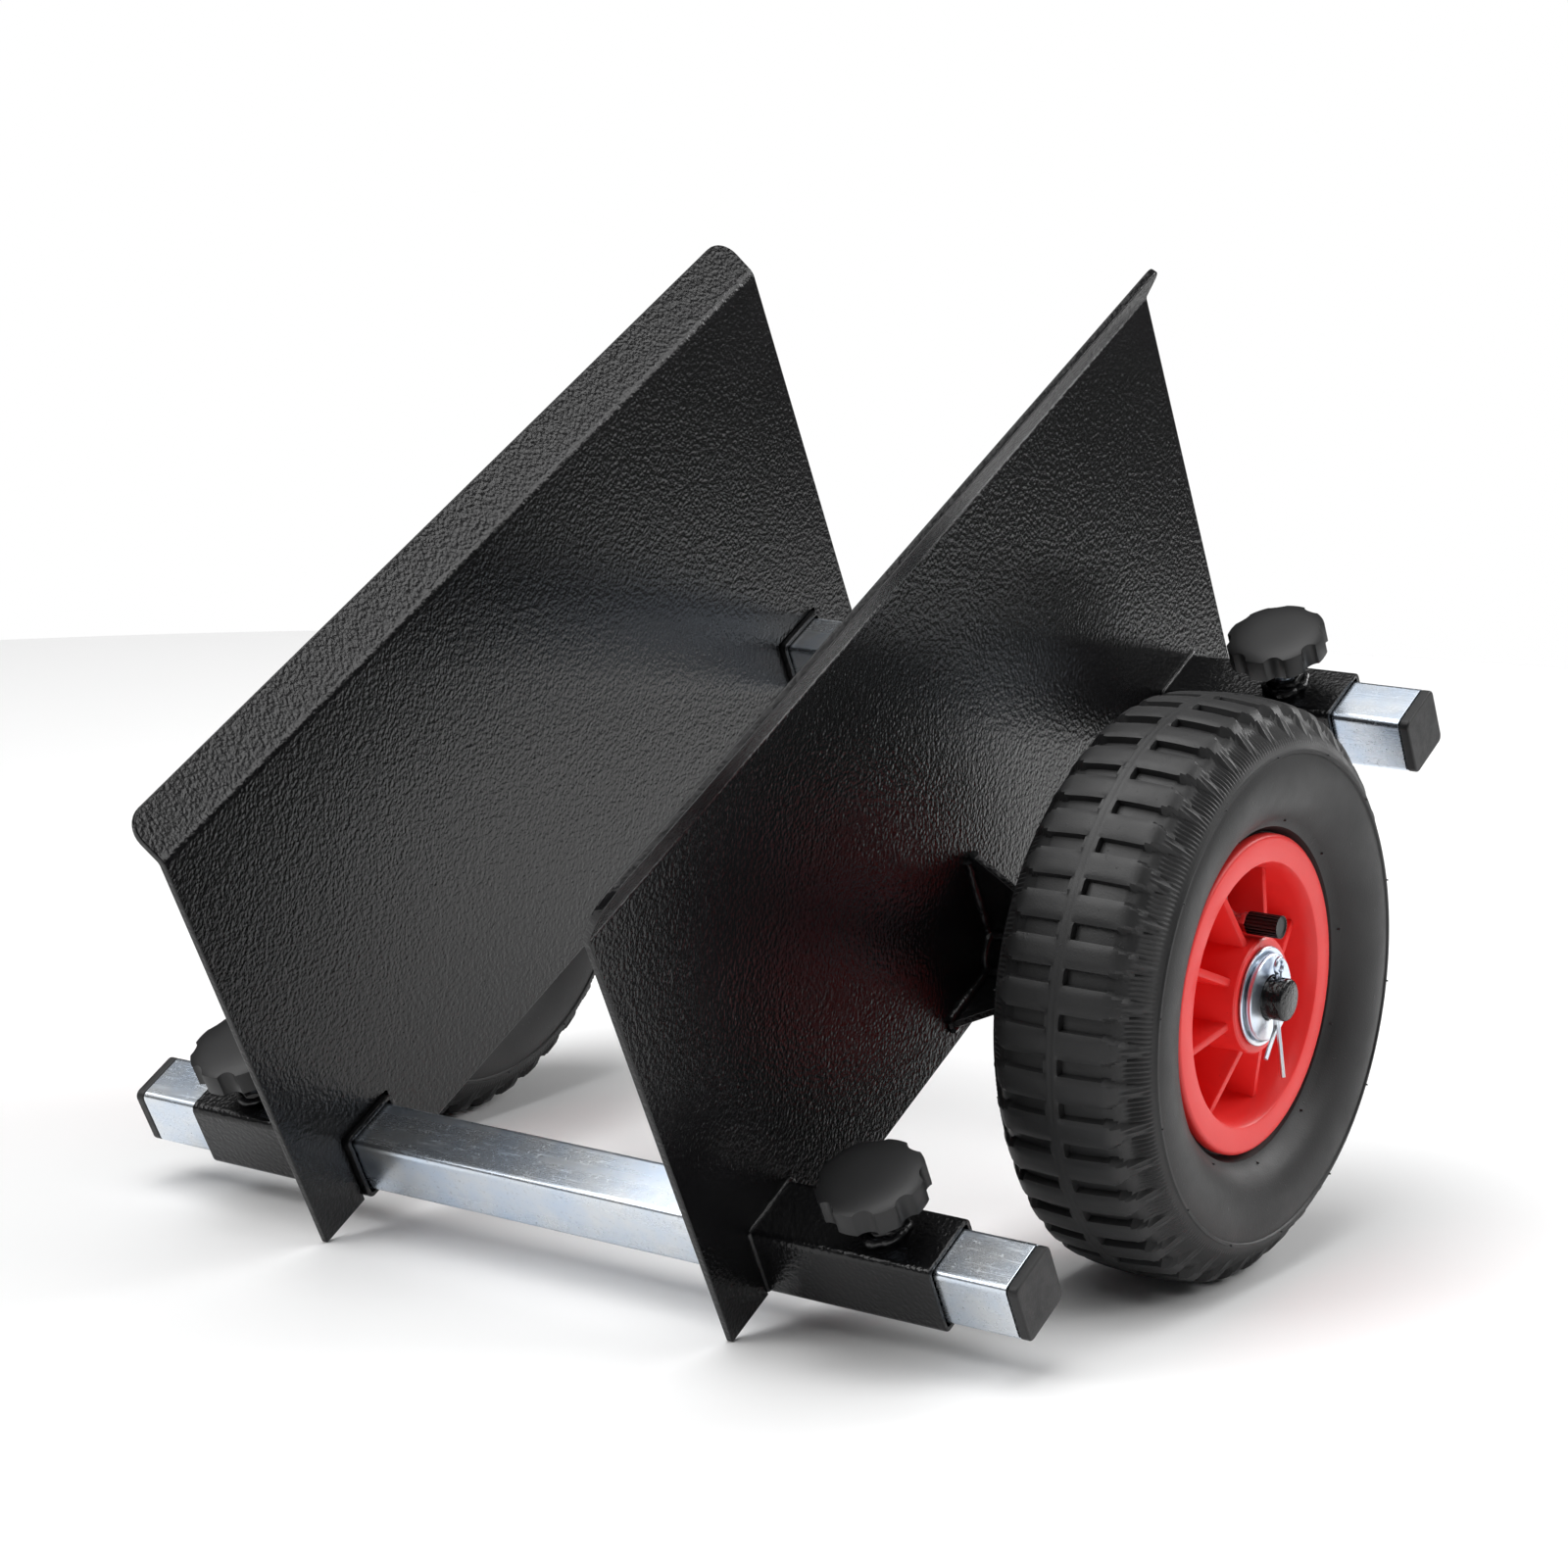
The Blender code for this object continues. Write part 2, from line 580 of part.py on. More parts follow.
def rim_profile():
    """Turned rim: hub with two bearing seats, middle disc, barrel and two flanges."""
    seat = BEARING_RADIUS + GAP
    core = HUB_HALF_LENGTH - BEARING_WIDTH - GAP
    disc = RIM_DISC / 2
    flange = RIM_HALF_WIDTH - RIM_FLANGE_THICKNESS
    barrel = RIM_SEAT_RADIUS - RIM_WALL
    edge = RIM_FLANGE_THICKNESS * RIM_EDGE_SHARE
    right = [
        (core, HUB_CORE_RADIUS),
        (core, seat),
        (HUB_HALF_LENGTH, seat),
        (HUB_HALF_LENGTH, HUB_RADIUS),
        (disc, HUB_RADIUS),
        (disc, barrel - RIM_WALL * RIM_BARREL_FLARE),
        (flange, barrel),
        (RIM_HALF_WIDTH, RIM_SEAT_RADIUS - RIM_WALL * RIM_LIP_DEPTH),
        (RIM_HALF_WIDTH, RIM_FLANGE_RADIUS - edge),
        (RIM_HALF_WIDTH - edge, RIM_FLANGE_RADIUS),
        (flange + edge / 2, RIM_FLANGE_RADIUS),
        (flange, RIM_SEAT_RADIUS),
    ]
    return right + [(-across, radius) for across, radius in reversed(right)]


def make_rim(side_name, side, material, parent, valve_hole):
    name = side_name + "_rim"
    bm = turned(rim_profile(), RIM_SEGMENTS)
    piece = place(name, finish_mesh(bm, name, side), material, parent)
    inner = HUB_RADIUS - RIM_WALL / 2
    outer = RIM_SEAT_RADIUS - 1.1 * RIM_WALL
    web = [(-RIB_HUB_HALF_DEPTH, inner), (RIB_HUB_HALF_DEPTH, inner),
           (RIB_WALL_HALF_DEPTH, outer), (-RIB_WALL_HALF_DEPTH, outer)]
    star = bmesh.new()
    for rib in range(RIM_RIBS):
        blade = prism(web, lambda x, z: Vector((x, -RIB_THICKNESS / 2, z)), (0, RIB_THICKNESS, 0))
        bmesh.ops.rotate(blade, matrix=Matrix.Rotation(2 * math.pi * (rib + 0.5) / RIM_RIBS, 3, "X"),
                         verts=blade.verts)
        blade_mesh = bpy.data.meshes.new(name + "_blade")
        blade.to_mesh(blade_mesh)
        blade.free()
        star.from_mesh(blade_mesh)
    cut(piece, star, name + "_ribs", "UNION")
    cut(piece, valve_hole, name + "_valve_hole")
    return piece


def make_tube(side_name, side, material, parent, valve_hole):
    """Inner tube: hollow ring, open only where its valve stem passes through the wall."""
    name = side_name + "_inner_tube"
    low = RIM_SEAT_RADIUS + 2 * TUBE_WALL + TYRE_WALL / 2
    high = TYRE_RADIUS - 1.6 * TYRE_WALL
    middle = (low + high) / 2
    tall = (high - low) / 2
    wide = TYRE_HALF_WIDTH - 2 * TYRE_WALL
    shell = bmesh.new()
    for inset, flip in ((0.0, False), (TUBE_WALL, True)):
        section = []
        for step in range(8):
            angle = math.pi / 4 * (step + 0.5)
            section.append(((wide - inset) * math.cos(angle), middle + (tall - inset) * math.sin(angle)))
        layer = turned(section, TUBE_SEGMENTS)
        if flip:
            bmesh.ops.reverse_faces(layer, faces=layer.faces)
        layer_mesh = bpy.data.meshes.new(name + "_layer")
        layer.to_mesh(layer_mesh)
        layer.free()
        shell.from_mesh(layer_mesh)
    piece = place(name, finish_mesh(shell, name, side), material, parent)
    cut(piece, valve_hole, name + "_valve_hole")
    return piece


def valve_bore(side):
    """Cutter for the hole that the valve stem passes through, in the tube and in the rim."""
    top = RIM_SEAT_RADIUS + 3 * TYRE_WALL
    bottom = RIM_SEAT_RADIUS - 3 * RIM_WALL
    hole = rod(bottom, top, VALVE_RADIUS + GAP, STUD_SEGMENTS, "Z")
    bmesh.ops.translate(hole, vec=(side * VALVE_INSET, 0, 0), verts=hole.verts)
    return hole


def make_valve(side_name, side, materials, parent):
    """Bent valve stem from the tube to the rim's open face, and its cap."""
    name = side_name + "_valve_stem"
    cap_start = VALVE_CAP_REACH - VALVE_CAP_LENGTH
    bend = arc((VALVE_INSET + VALVE_BEND, VALVE_ORBIT + VALVE_BEND), VALVE_BEND, 180, 270, 5)
    stem_top = RIM_SEAT_RADIUS + 1.8 * TYRE_WALL
    route = [(VALVE_INSET, stem_top)] + bend + [(cap_start - GAP, VALVE_ORBIT)]
    points = [(side * x, 0, z) for x, z in route]
    wire(name, points, VALVE_RADIUS, materials["bearing_steel"], parent, (0, 0, 0))
    cap_name = side_name + "_valve_cap"
    cap = rod(cap_start, VALVE_CAP_REACH, VALVE_CAP_RADIUS, STUD_SEGMENTS)
    bmesh.ops.translate(cap, vec=(0, 0, VALVE_ORBIT), verts=cap.verts)
    place(cap_name, finish_mesh(cap, cap_name, side), materials["black_plastic"], parent)


def make_bearings(side_name, side, materials, axle_frame, wheel_frame):
    """Flanged bearing at each end of the hub: the race turns with the rim, the bush stays."""
    seat_end = HUB_HALF_LENGTH + GAP
    for which, way in (("outer", 1), ("inner", -1)):
        race_name = f"{side_name}_{which}_bearing_race"
        profile = [
            (way * (seat_end - BEARING_WIDTH), RACE_RADIUS),
            (way * (seat_end + BEARING_FLANGE), RACE_RADIUS),
            (way * (seat_end + BEARING_FLANGE), BEARING_FLANGE_RADIUS),
            (way * seat_end, BEARING_FLANGE_RADIUS),
            (way * seat_end, BEARING_RADIUS),
            (way * (seat_end - BEARING_WIDTH), BEARING_RADIUS),
        ]
        bm = turned(profile, SMALL_SEGMENTS)
        place(race_name, finish_mesh(bm, race_name, side), materials["bearing_steel"], wheel_frame)
        bush_name = f"{side_name}_{which}_bearing_bush"
        ends = sorted([way * (seat_end - BEARING_WIDTH), way * (seat_end + BEARING_FLANGE)])
        bm = ring(*ends, AXLE_RADIUS + GAP, RACE_RADIUS - GAP, SMALL_SEGMENTS)
        place(bush_name, finish_mesh(bm, bush_name, side), materials["bearing_steel"], axle_frame)


def make_wheel(side_name, side, materials, carriage):
    """Wheel on its axle; both frames lie on the wheel's hinge axis, turned level with the floor."""
    where = (side * (PLATE_OUTER + WHEEL_OFFSET), 0, AXLE_HEIGHT)
    axle_frame = make_empty(side_name + "_axle_frame", carriage, where, -TILT)
    wheel_frame = make_empty(side_name + "_wheel_axis", carriage, where, -TILT)
    make_axle(side_name, side, materials["black_steel"], axle_frame)
    make_washers(side_name, side, materials["zinc_steel"], axle_frame)
    make_cotter_pin(side_name, side, materials["zinc_steel"], axle_frame)
    name = side_name + "_tyre"
    bm = turned(tyre_profile(), TYRE_SEGMENTS)
    place(name, finish_mesh(bm, name, side), materials["tyre_rubber"], wheel_frame)
    make_tube(side_name, side, materials["tube_rubber"], wheel_frame, valve_bore(side))
    make_rim(side_name, side, materials["red_plastic"], wheel_frame, valve_bore(side))
    make_valve(side_name, side, materials, wheel_frame)
    make_bearings(side_name, side, materials, axle_frame, wheel_frame)


def make_carriage(side_name, side, materials, body):
    carriage = make_empty(side_name + "_carriage", body)
    make_plate(side_name + "_cheek_plate", side, materials["black_steel"], carriage)
    make_webs(side_name, side, materials["black_steel"], carriage)
    for end in RAIL_Y:
        make_sleeve(f"{end}_{side_name}_sleeve", end, side, materials["black_steel"], carriage)
        make_nut(f"{end}_{side_name}_weld_nut", end, side, materials["black_steel"], carriage)
        make_knob(f"{end}_{side_name}_knob", end, side, materials, carriage)
    make_wheel(side_name, side, materials, carriage)


def stand_on_floor(frame):
    """Move the tipped body so that its lowest point is at Z = 0 and its box is centred."""
    bpy.context.view_layer.update()
    depsgraph = bpy.context.evaluated_depsgraph_get()
    low = Vector((math.inf,) * 3)
    high = Vector((-math.inf,) * 3)
    for piece in bpy.data.objects:
        if piece.type == "EMPTY" or piece.hide_render:
            continue
        evaluated = piece.evaluated_get(depsgraph)
        mesh = evaluated.to_mesh()
        for vert in mesh.vertices:
            spot = evaluated.matrix_world @ vert.co
            low = Vector(map(min, low, spot))
            high = Vector(map(max, high, spot))
        evaluated.to_mesh_clear()
    frame.location = (-(low.x + high.x) / 2, -(low.y + high.y) / 2, -low.z)
    bpy.context.view_layer.update()


def main():
    clear_scene()
    materials = make_materials()
    body = make_empty("tipped_body", None, (0, 0, 0), TILT)
    for side_name, side in SIDES.items():
        make_carriage(side_name, side, materials, body)
    for end in RAIL_Y:
        rail_frame = make_empty(end + "_rail_frame", body)
        make_rail(end + "_rail", end, materials, rail_frame)
    stand_on_floor(body)


main()
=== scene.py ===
"""Finished look of an adjustable two-wheel panel dolly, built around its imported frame.

Most pieces are modelled in the dolly's level frame: X across the dolly, Y to the rear, Z square
to the rails, with the axle line at Y = Z = 0.  The level frame is then tipped into place.
"""

import json
import math
import random

import bmesh
import bpy
from bpy.props import FloatProperty, FloatVectorProperty, IntProperty, PointerProperty
from mathutils import Matrix, Vector


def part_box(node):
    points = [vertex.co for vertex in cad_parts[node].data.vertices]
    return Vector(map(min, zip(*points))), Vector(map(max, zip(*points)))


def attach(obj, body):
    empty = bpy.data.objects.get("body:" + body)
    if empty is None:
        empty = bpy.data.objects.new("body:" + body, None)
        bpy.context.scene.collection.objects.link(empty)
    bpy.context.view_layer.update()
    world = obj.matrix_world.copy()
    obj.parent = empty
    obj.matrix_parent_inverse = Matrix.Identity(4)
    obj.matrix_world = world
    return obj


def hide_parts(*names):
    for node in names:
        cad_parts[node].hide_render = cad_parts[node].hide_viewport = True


bl_info = {
    "name": "Panel Dolly Finish",
    "version": (1, 0, 0),
    "blender": (4, 5, 0),
    "location": "View3D > Sidebar > Dolly",
    "description": "Builds the finished pieces, materials and stage of an adjustable panel dolly",
    "category": "Object",
}

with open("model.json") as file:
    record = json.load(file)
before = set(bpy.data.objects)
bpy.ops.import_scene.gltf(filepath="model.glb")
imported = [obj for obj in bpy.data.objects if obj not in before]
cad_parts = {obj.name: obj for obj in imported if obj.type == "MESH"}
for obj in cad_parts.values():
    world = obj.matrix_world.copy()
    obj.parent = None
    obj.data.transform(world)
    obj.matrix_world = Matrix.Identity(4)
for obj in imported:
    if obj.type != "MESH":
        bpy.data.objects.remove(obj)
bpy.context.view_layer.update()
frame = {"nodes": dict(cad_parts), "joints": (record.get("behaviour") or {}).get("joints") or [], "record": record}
ENDS = ("front", "rear")
SIDES = ("right", "left")


# ---------------------------------------------------------------- places read from the frame

def joint(name):
    return next(item for item in frame["joints"] if item["name"] == name)


UP = Vector(joint("front_right_stud_travel")["axis"])
AXLE = Vector(joint("right_wheel_spin")["pos_m"])
TILT = math.atan2(-UP.y, UP.z)
TIP = Matrix.Translation((0, AXLE.y, AXLE.z)) @ Matrix.Rotation(TILT, 4, "X")
LEVEL = TIP.inverted()
AT_WHEEL = Matrix.Translation(AXLE)


def level_box(node):
    """Lowest and highest corners of a CAD node in the level frame."""
    spots = [LEVEL @ vert.co for vert in frame["nodes"][node].data.vertices]
    low = Vector([min(spot[axis] for spot in spots) for axis in range(3)])
    high = Vector([max(spot[axis] for spot in spots) for axis in range(3)])
    return low, high


def wheel_box(node):
    """Lowest and highest corners of a right-hand wheel node, from the wheel's centre."""
    low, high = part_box(node)
    return low - AXLE, high - AXLE


RAIL_STEP = level_box("rear_rail")[0] - level_box("front_rail")[0]
TO_REAR = Matrix.Translation(TIP.to_3x3() @ Vector((0, RAIL_STEP.y, 0)))
MIRROR = Matrix.Scale(-1, 4, (1, 0, 0))
NEAR = 0.0001  # closer to a place than this is on it
PLAY = 0.0003  # clearance of the holes round a stud
SQUARE_ON = 0.9  # a face looks along an axis when its normal's part there is over this


def place_of(end, side):
    """Matrix that takes the front right piece to another end and side."""
    return (MIRROR if side == "left" else Matrix()) @ (TO_REAR if end == "rear" else Matrix())


# ---------------------------------------------------------------- settings

def length_setting(name, description, default):
    return FloatProperty(name=name, description=description, default=default, unit="LENGTH")


def angle_setting(name, description, degrees):
    return FloatProperty(name=name, description=description, default=math.radians(degrees),
                         subtype="ANGLE")


def colour_setting(name, description, default):
    return FloatVectorProperty(name=name, description=description, default=default,
                               subtype="COLOR")


class DollyPlateSettings(bpy.types.PropertyGroup):
    height: length_setting("Height", "Lower edge to the start of the flare", 0.183)
    thickness: length_setting("Thickness", "Sheet thickness", 0.003)
    bend: length_setting("Bend radius", "Radius of the inner face at the flare", 0.007)
    flare: length_setting("Flare", "Width of the flared edge", 0.018)
    angle: angle_setting("Flare angle", "How far the edge leans out", 35)
    corner: length_setting("Corner", "Radius of the flare's corners", 0.010)
    edge: length_setting("Edge", "Softening of the sheet's cut edges", 0.0006)


class DollyRailSettings(bpy.types.PropertyGroup):
    wall: length_setting("Wall", "Wall of the rails", 0.0015)
    corner: length_setting("Corner", "Corner radius of the rails", 0.0028)
    sleeve_wall: length_setting("Sleeve wall", "Wall of the sleeves", 0.002)
    sleeve_corner: length_setting("Sleeve corner", "Corner radius of the sleeves", 0.0032)
    weld: length_setting("Weld", "Radius of the weld beads", 0.0019)


class DollyKnobSettings(bpy.types.PropertyGroup):
    lobes: IntProperty(name="Lobes", description="Lobes round the knob head", default=8, min=3)
    flute: length_setting("Flute", "Radius of the round cutter between two lobes", 0.0052)
    flute_depth: length_setting("Flute depth", "How deep a flute cuts into the head", 0.0021)
    edge: length_setting("Edge", "Rounding of the head's edges", 0.0011)
    pitch: length_setting("Thread pitch", "Pitch of the clamp stud's thread", 0.00125)


class DollyWheelSettings(bpy.types.PropertyGroup):
    lugs: IntProperty(name="Lugs", description="Tread lugs round the tyre", default=42, min=12)
    pocket: length_setting("Pocket depth", "Depth of the tread pockets", 0.0032)
    ribs: IntProperty(name="Ribs", description="Ribs of the rim", default=8, min=3)
    rib: length_setting("Rib thickness", "Thickness of a rim rib", 0.0032)
    cap_ribs: IntProperty(name="Valve cap ribs", description="Grip ribs of the valve cap",
                          default=20, min=6)


class DollyPaintSettings(bpy.types.PropertyGroup):
    coat: colour_setting("Powder coat", "Colour of the painted steel", (0.0046, 0.0046, 0.0051))
    zinc: colour_setting("Zinc", "Colour of the plated steel", (0.74, 0.77, 0.80))
    red: colour_setting("Rim", "Colour of the rim plastic", (0.88, 0.036, 0.033))
    rubber: colour_setting("Rubber", "Colour of the tyre", (0.0090, 0.0090, 0.0094))
    plastic: colour_setting("Knob plastic", "Colour of the knobs and caps",
                            (0.0078, 0.0078, 0.0083))


class DollyStageSettings(bpy.types.PropertyGroup):
    azimuth: angle_setting("Azimuth", "Camera's turn round the dolly from its front", 34.043)
    elevation: angle_setting("Elevation", "Camera's height as an angle", 11.003)
    roll: angle_setting("Roll", "Camera's roll", 1.006)
    distance: length_setting("Distance", "Camera to the point it looks at", 1.5)
    lens: FloatProperty(name="Lens", description="Focal length in millimetres", default=88.58)
    reach: length_setting("Floor radius", "Radius of the pale floor", 1.5)
    floor: colour_setting("Floor", "Colour of the floor", (0.93, 0.93, 0.93))


# ---------------------------------------------------------------- modelling helpers

def activate(piece):
    bpy.ops.object.select_all(action="DESELECT")
    piece.select_set(True)
    bpy.context.view_layer.objects.active = piece


def apply_place(piece):
    activate(piece)
    bpy.ops.object.transform_apply(location=True, rotation=True, scale=True)


def settle(piece, matrix):
    """Move an unturned piece by a matrix, which is applied to its mesh."""
    piece.matrix_world = matrix
    apply_place(piece)
    return piece


def named(name):
    """Take the object that an operator has just added, name it and apply its place."""
    piece = bpy.context.active_object
    piece.name = name
    piece.data.name = name
    apply_place(piece)
    return piece


def add_box(name, low, high):
    bpy.ops.object.select_all(action="DESELECT")
    low, high = Vector(low), Vector(high)
    bpy.ops.mesh.primitive_cube_add(size=1, location=(low + high) / 2)
    bpy.context.active_object.scale = high - low
    return named(name)


def add_disc(name, radius, start, end, axis="Z", corners=48, spot=(0, 0, 0)):
    """Solid cylinder between two places along an axis."""
    bpy.ops.object.select_all(action="DESELECT")
    turn = {"X": (0, math.pi / 2, 0), "Z": (0, 0, 0)}[axis]
    along = Vector([float(letter == axis) for letter in "XYZ"])
    bpy.ops.mesh.primitive_cylinder_add(
        vertices=corners, radius=radius, depth=end - start, rotation=turn,
        location=Vector(spot) + along * (start + end) / 2)
    return named(name)


def pick(piece, kind, test):
    """Enter edit mode with only the corners, edges or faces that pass a test selected."""
    activate(piece)
    bpy.context.tool_settings.mesh_select_mode = [
        kind == word for word in ("VERT", "EDGE", "FACE")]
    bpy.ops.object.mode_set(mode="EDIT")
    bpy.ops.mesh.select_all(action="DESELECT")
    mesh = bmesh.from_edit_mesh(piece.data)
    for item in {"VERT": mesh.verts, "EDGE": mesh.edges, "FACE": mesh.faces}[kind]:
        if test(item):
            item.select_set(True)
    mesh.select_flush_mode()
    bmesh.update_edit_mesh(piece.data)


def pick_all(piece):
    """Enter edit mode with everything selected."""
    activate(piece)
    bpy.ops.object.mode_set(mode="EDIT")
    bpy.ops.mesh.select_all(action="SELECT")


def leave():
    bpy.ops.object.mode_set(mode="OBJECT")


def middle(item):
    """Middle of an edge, or of a face."""
    if isinstance(item, bmesh.types.BMEdge):
        return (item.verts[0].co + item.verts[1].co) / 2
    return item.calc_center_median()


def runs_along(edge, axis):
    span = edge.verts[1].co - edge.verts[0].co
    return abs(span[axis]) > 0.999 * span.length


def bevel_picked(width, segments, affect="EDGES"):
    bpy.ops.mesh.bevel(offset=width, segments=segments, affect=affect, clamp_overlap=True)
    leave()


def inset_picked(thickness, depth=0.0):
    bpy.ops.mesh.inset(thickness=thickness, depth=depth, use_even_offset=True)


def modify(piece, kind, **settings):
    """Add a modifier and apply it."""
    activate(piece)
    modifier = piece.modifiers.new(kind, kind)
    for name, value in settings.items():
        setattr(modifier, name, value)
    bpy.ops.object.modifier_apply(modifier=modifier.name)


def cut(piece, tool, operation="DIFFERENCE"):
    """Boolean with another piece, which is used up."""
    modify(piece, "BOOLEAN", operation=operation, object=tool, solver="EXACT")
    bpy.data.objects.remove(tool)


def soften(piece, width, segments, angle):
    """Round the edges that are sharper than an angle."""
    modify(piece, "BEVEL", width=width, segments=segments, limit_method="ANGLE",
           angle_limit=math.radians(angle), use_clamp_overlap=True, miter_outer="MITER_ARC")


def smooth(piece, angle, weighted=False):
    """Smooth shading up to an angle; weighted keeps wide flat faces flat."""
    activate(piece)
    bpy.ops.object.shade_smooth_by_angle(angle=math.radians(angle))
    if weighted:
        modify(piece, "WEIGHTED_NORMAL", keep_sharp=True, weight=90)


def outward(piece):
    """Merge doubles and point every face outwards."""
    pick_all(piece)
    bpy.ops.mesh.remove_doubles(threshold=0.000005)
    bpy.ops.mesh.normals_make_consistent(inside=False)
    leave()


def flip(piece):
    """Turn every face over."""
    pick_all(piece)
    bpy.ops.mesh.flip_normals()
    leave()


def join(name, pieces):
    bpy.ops.object.select_all(action="DESELECT")
    for piece in pieces:
        piece.select_set(True)
    bpy.context.view_layer.objects.active = pieces[0]
    bpy.ops.object.join()
    pieces[0].name = name
    return pieces[0]


def copy_to(piece, name, matrix):
    """Copy with its own mesh, moved by a matrix; a mirrored copy gets its faces turned back."""
    copy = piece.copy()
    copy.data = piece.data.copy()
    copy.name = name
    copy.data.name = name
    bpy.context.scene.collection.objects.link(copy)
    settle(copy, matrix)
    if matrix.determinant() < 0:
        weighted = copy.data.has_custom_normals
        if weighted:
            bpy.ops.mesh.customdata_custom_splitnormals_clear()
        flip(copy)
        if weighted:
            modify(copy, "WEIGHTED_NORMAL", keep_sharp=True, weight=90)
    return copy


def trace(name, points, closed=True):
    """Wire through (along, radius) points, extruded from one corner to the next."""
    corners = [Vector((along, 0.0, radius)) for along, radius in points]
    bpy.ops.object.select_all(action="DESELECT")
    bpy.ops.mesh.primitive_plane_add(size=0.001)
    piece = named(name)
    pick(piece, "VERT", lambda vert: True)
    bpy.ops.mesh.merge(type="CENTER")
    bpy.ops.transform.translate(value=corners[0])
    for start, end in zip(corners, corners[1:] + corners[:1] * closed):
        bpy.ops.mesh.extrude_vertices_move(TRANSFORM_OT_translate={"value": end - start})
    bpy.ops.mesh.select_all(action="SELECT")
    bpy.ops.mesh.remove_doubles(threshold=0.000001)
    leave()
    return piece


def turned(name, profile, steps, closed=True):
    """Solid turned about X from its outline, with an edit-mode spin."""
    piece = trace(name, profile, closed)
    pick_all(piece)
    bpy.ops.mesh.spin(steps=steps, angle=2 * math.pi, center=(0, 0, 0), axis=(1, 0, 0))
    leave()
    outward(piece)
    return piece


def arc(centre, radius, start, end, steps):
    """Points on an arc, ends included, angles in degrees."""
    angles = [math.radians(start + (end - start) * step / steps) for step in range(steps + 1)]
    return [(centre[0] + radius * math.cos(a), centre[1] + radius * math.sin(a)) for a in angles]


def bead(name, route, radius, seed=0, closed=False, wobble=0.0, sides=8):
    """Round bead along a route; a weld's is a little uneven, a wire's is not."""
    curve = bpy.data.curves.new(name, "CURVE")
    curve.dimensions = "3D"
    curve.bevel_depth = radius
    curve.bevel_resolution = sides // 2 - 2
    curve.use_fill_caps = not closed
    spline = curve.splines.new("POLY")
    spline.points.add(len(route) - 1)
    chance = random.Random(seed)
    for spot, point in zip(spline.points, route):
        spot.co = (*point, 1.0)
        spot.radius = 1.0 + wobble * (chance.random() - 0.5)
    spline.use_cyclic_u = closed
    piece = bpy.data.objects.new(name, curve)
    bpy.context.scene.collection.objects.link(piece)
    activate(piece)
    bpy.ops.object.convert(target="MESH")
    outward(piece)
    smooth(piece, 80)
    return piece


def along_line(start, end, count):
    start, end = Vector(start), Vector(end)
    return [start.lerp(end, step / (count - 1)) for step in range(count)]


def finish(piece, body, material, node=None):
    """Give a piece its material and its body, and hide the CAD node that it stands for."""
    piece.data.materials.clear()
    piece.data.materials.append(bpy.data.materials[material])
    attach(piece, body)
    if node:
        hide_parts(node)


def body_of(node):
    bodies = frame["record"]["behaviour"]["bodies"]
    return next(name for name, nodes in bodies.items() if node in nodes)


def spread(piece, matrix, pattern, material, body=None):
    """Settle the front right piece and finish a copy at each end and side in the pattern.

    The pattern names the CAD nodes that the copies stand for, or extra pieces if a body is given.
    """
    settle(piece, matrix)
    made = []
    for side in SIDES if "{side}" in pattern else SIDES[:1]:
        for end in ENDS if "{end}" in pattern else ENDS[:1]:
            name = pattern.format(end=end, side=side)
            copy = copy_to(piece, name if body else "fine_" + name, place_of(end, side))
            made.append((copy, name, body.format(side=side) if body else body_of(name)))
    bpy.data.objects.remove(piece)
    for copy, name, carrier in made:
        finish(copy, carrier, material, None if body else name)


# ---------------------------------------------------------------- materials

SLOT_OF = {
    "Powder coat": "black_powder_coat",
    "Weld": "black_powder_coat",
    "Zinc rail": "zinc_plate",
    "Zinc hardware": "zinc_plate",
    "Bearing steel": "bearing_steel",
    "Knob plastic": "black_plastic",
    "Cap plastic": "cap_plastic",
    "Tyre rubber": "tyre_rubber",
    "Tube rubber": "tube_rubber",
    "Rim plastic": "red_plastic",
}


class Socket:
    """A number in a shader; arithmetic on it adds Math nodes."""

    def __init__(self, paint, link):
        self.paint = paint
        self.link = link

    def math(self, operation, *values):
        return self.paint.node("ShaderNodeMath", {"operation": operation}, dict(enumerate(values)))

    def __add__(self, other):
        return self.math("ADD", self, other)

    def __mul__(self, other):
        return self.math("MULTIPLY", self, other)

    def __sub__(self, other):
        return self.math("SUBTRACT", self, other)

    def __rsub__(self, other):
        return self.math("SUBTRACT", other, self)

    def __truediv__(self, other):
        return self.math("DIVIDE", self, other)

    def __rtruediv__(self, other):
        return self.math("DIVIDE", other, self)

    def __pow__(self, other):
        return self.math("POWER", self, other)

    __radd__ = __add__
    __rmul__ = __mul__


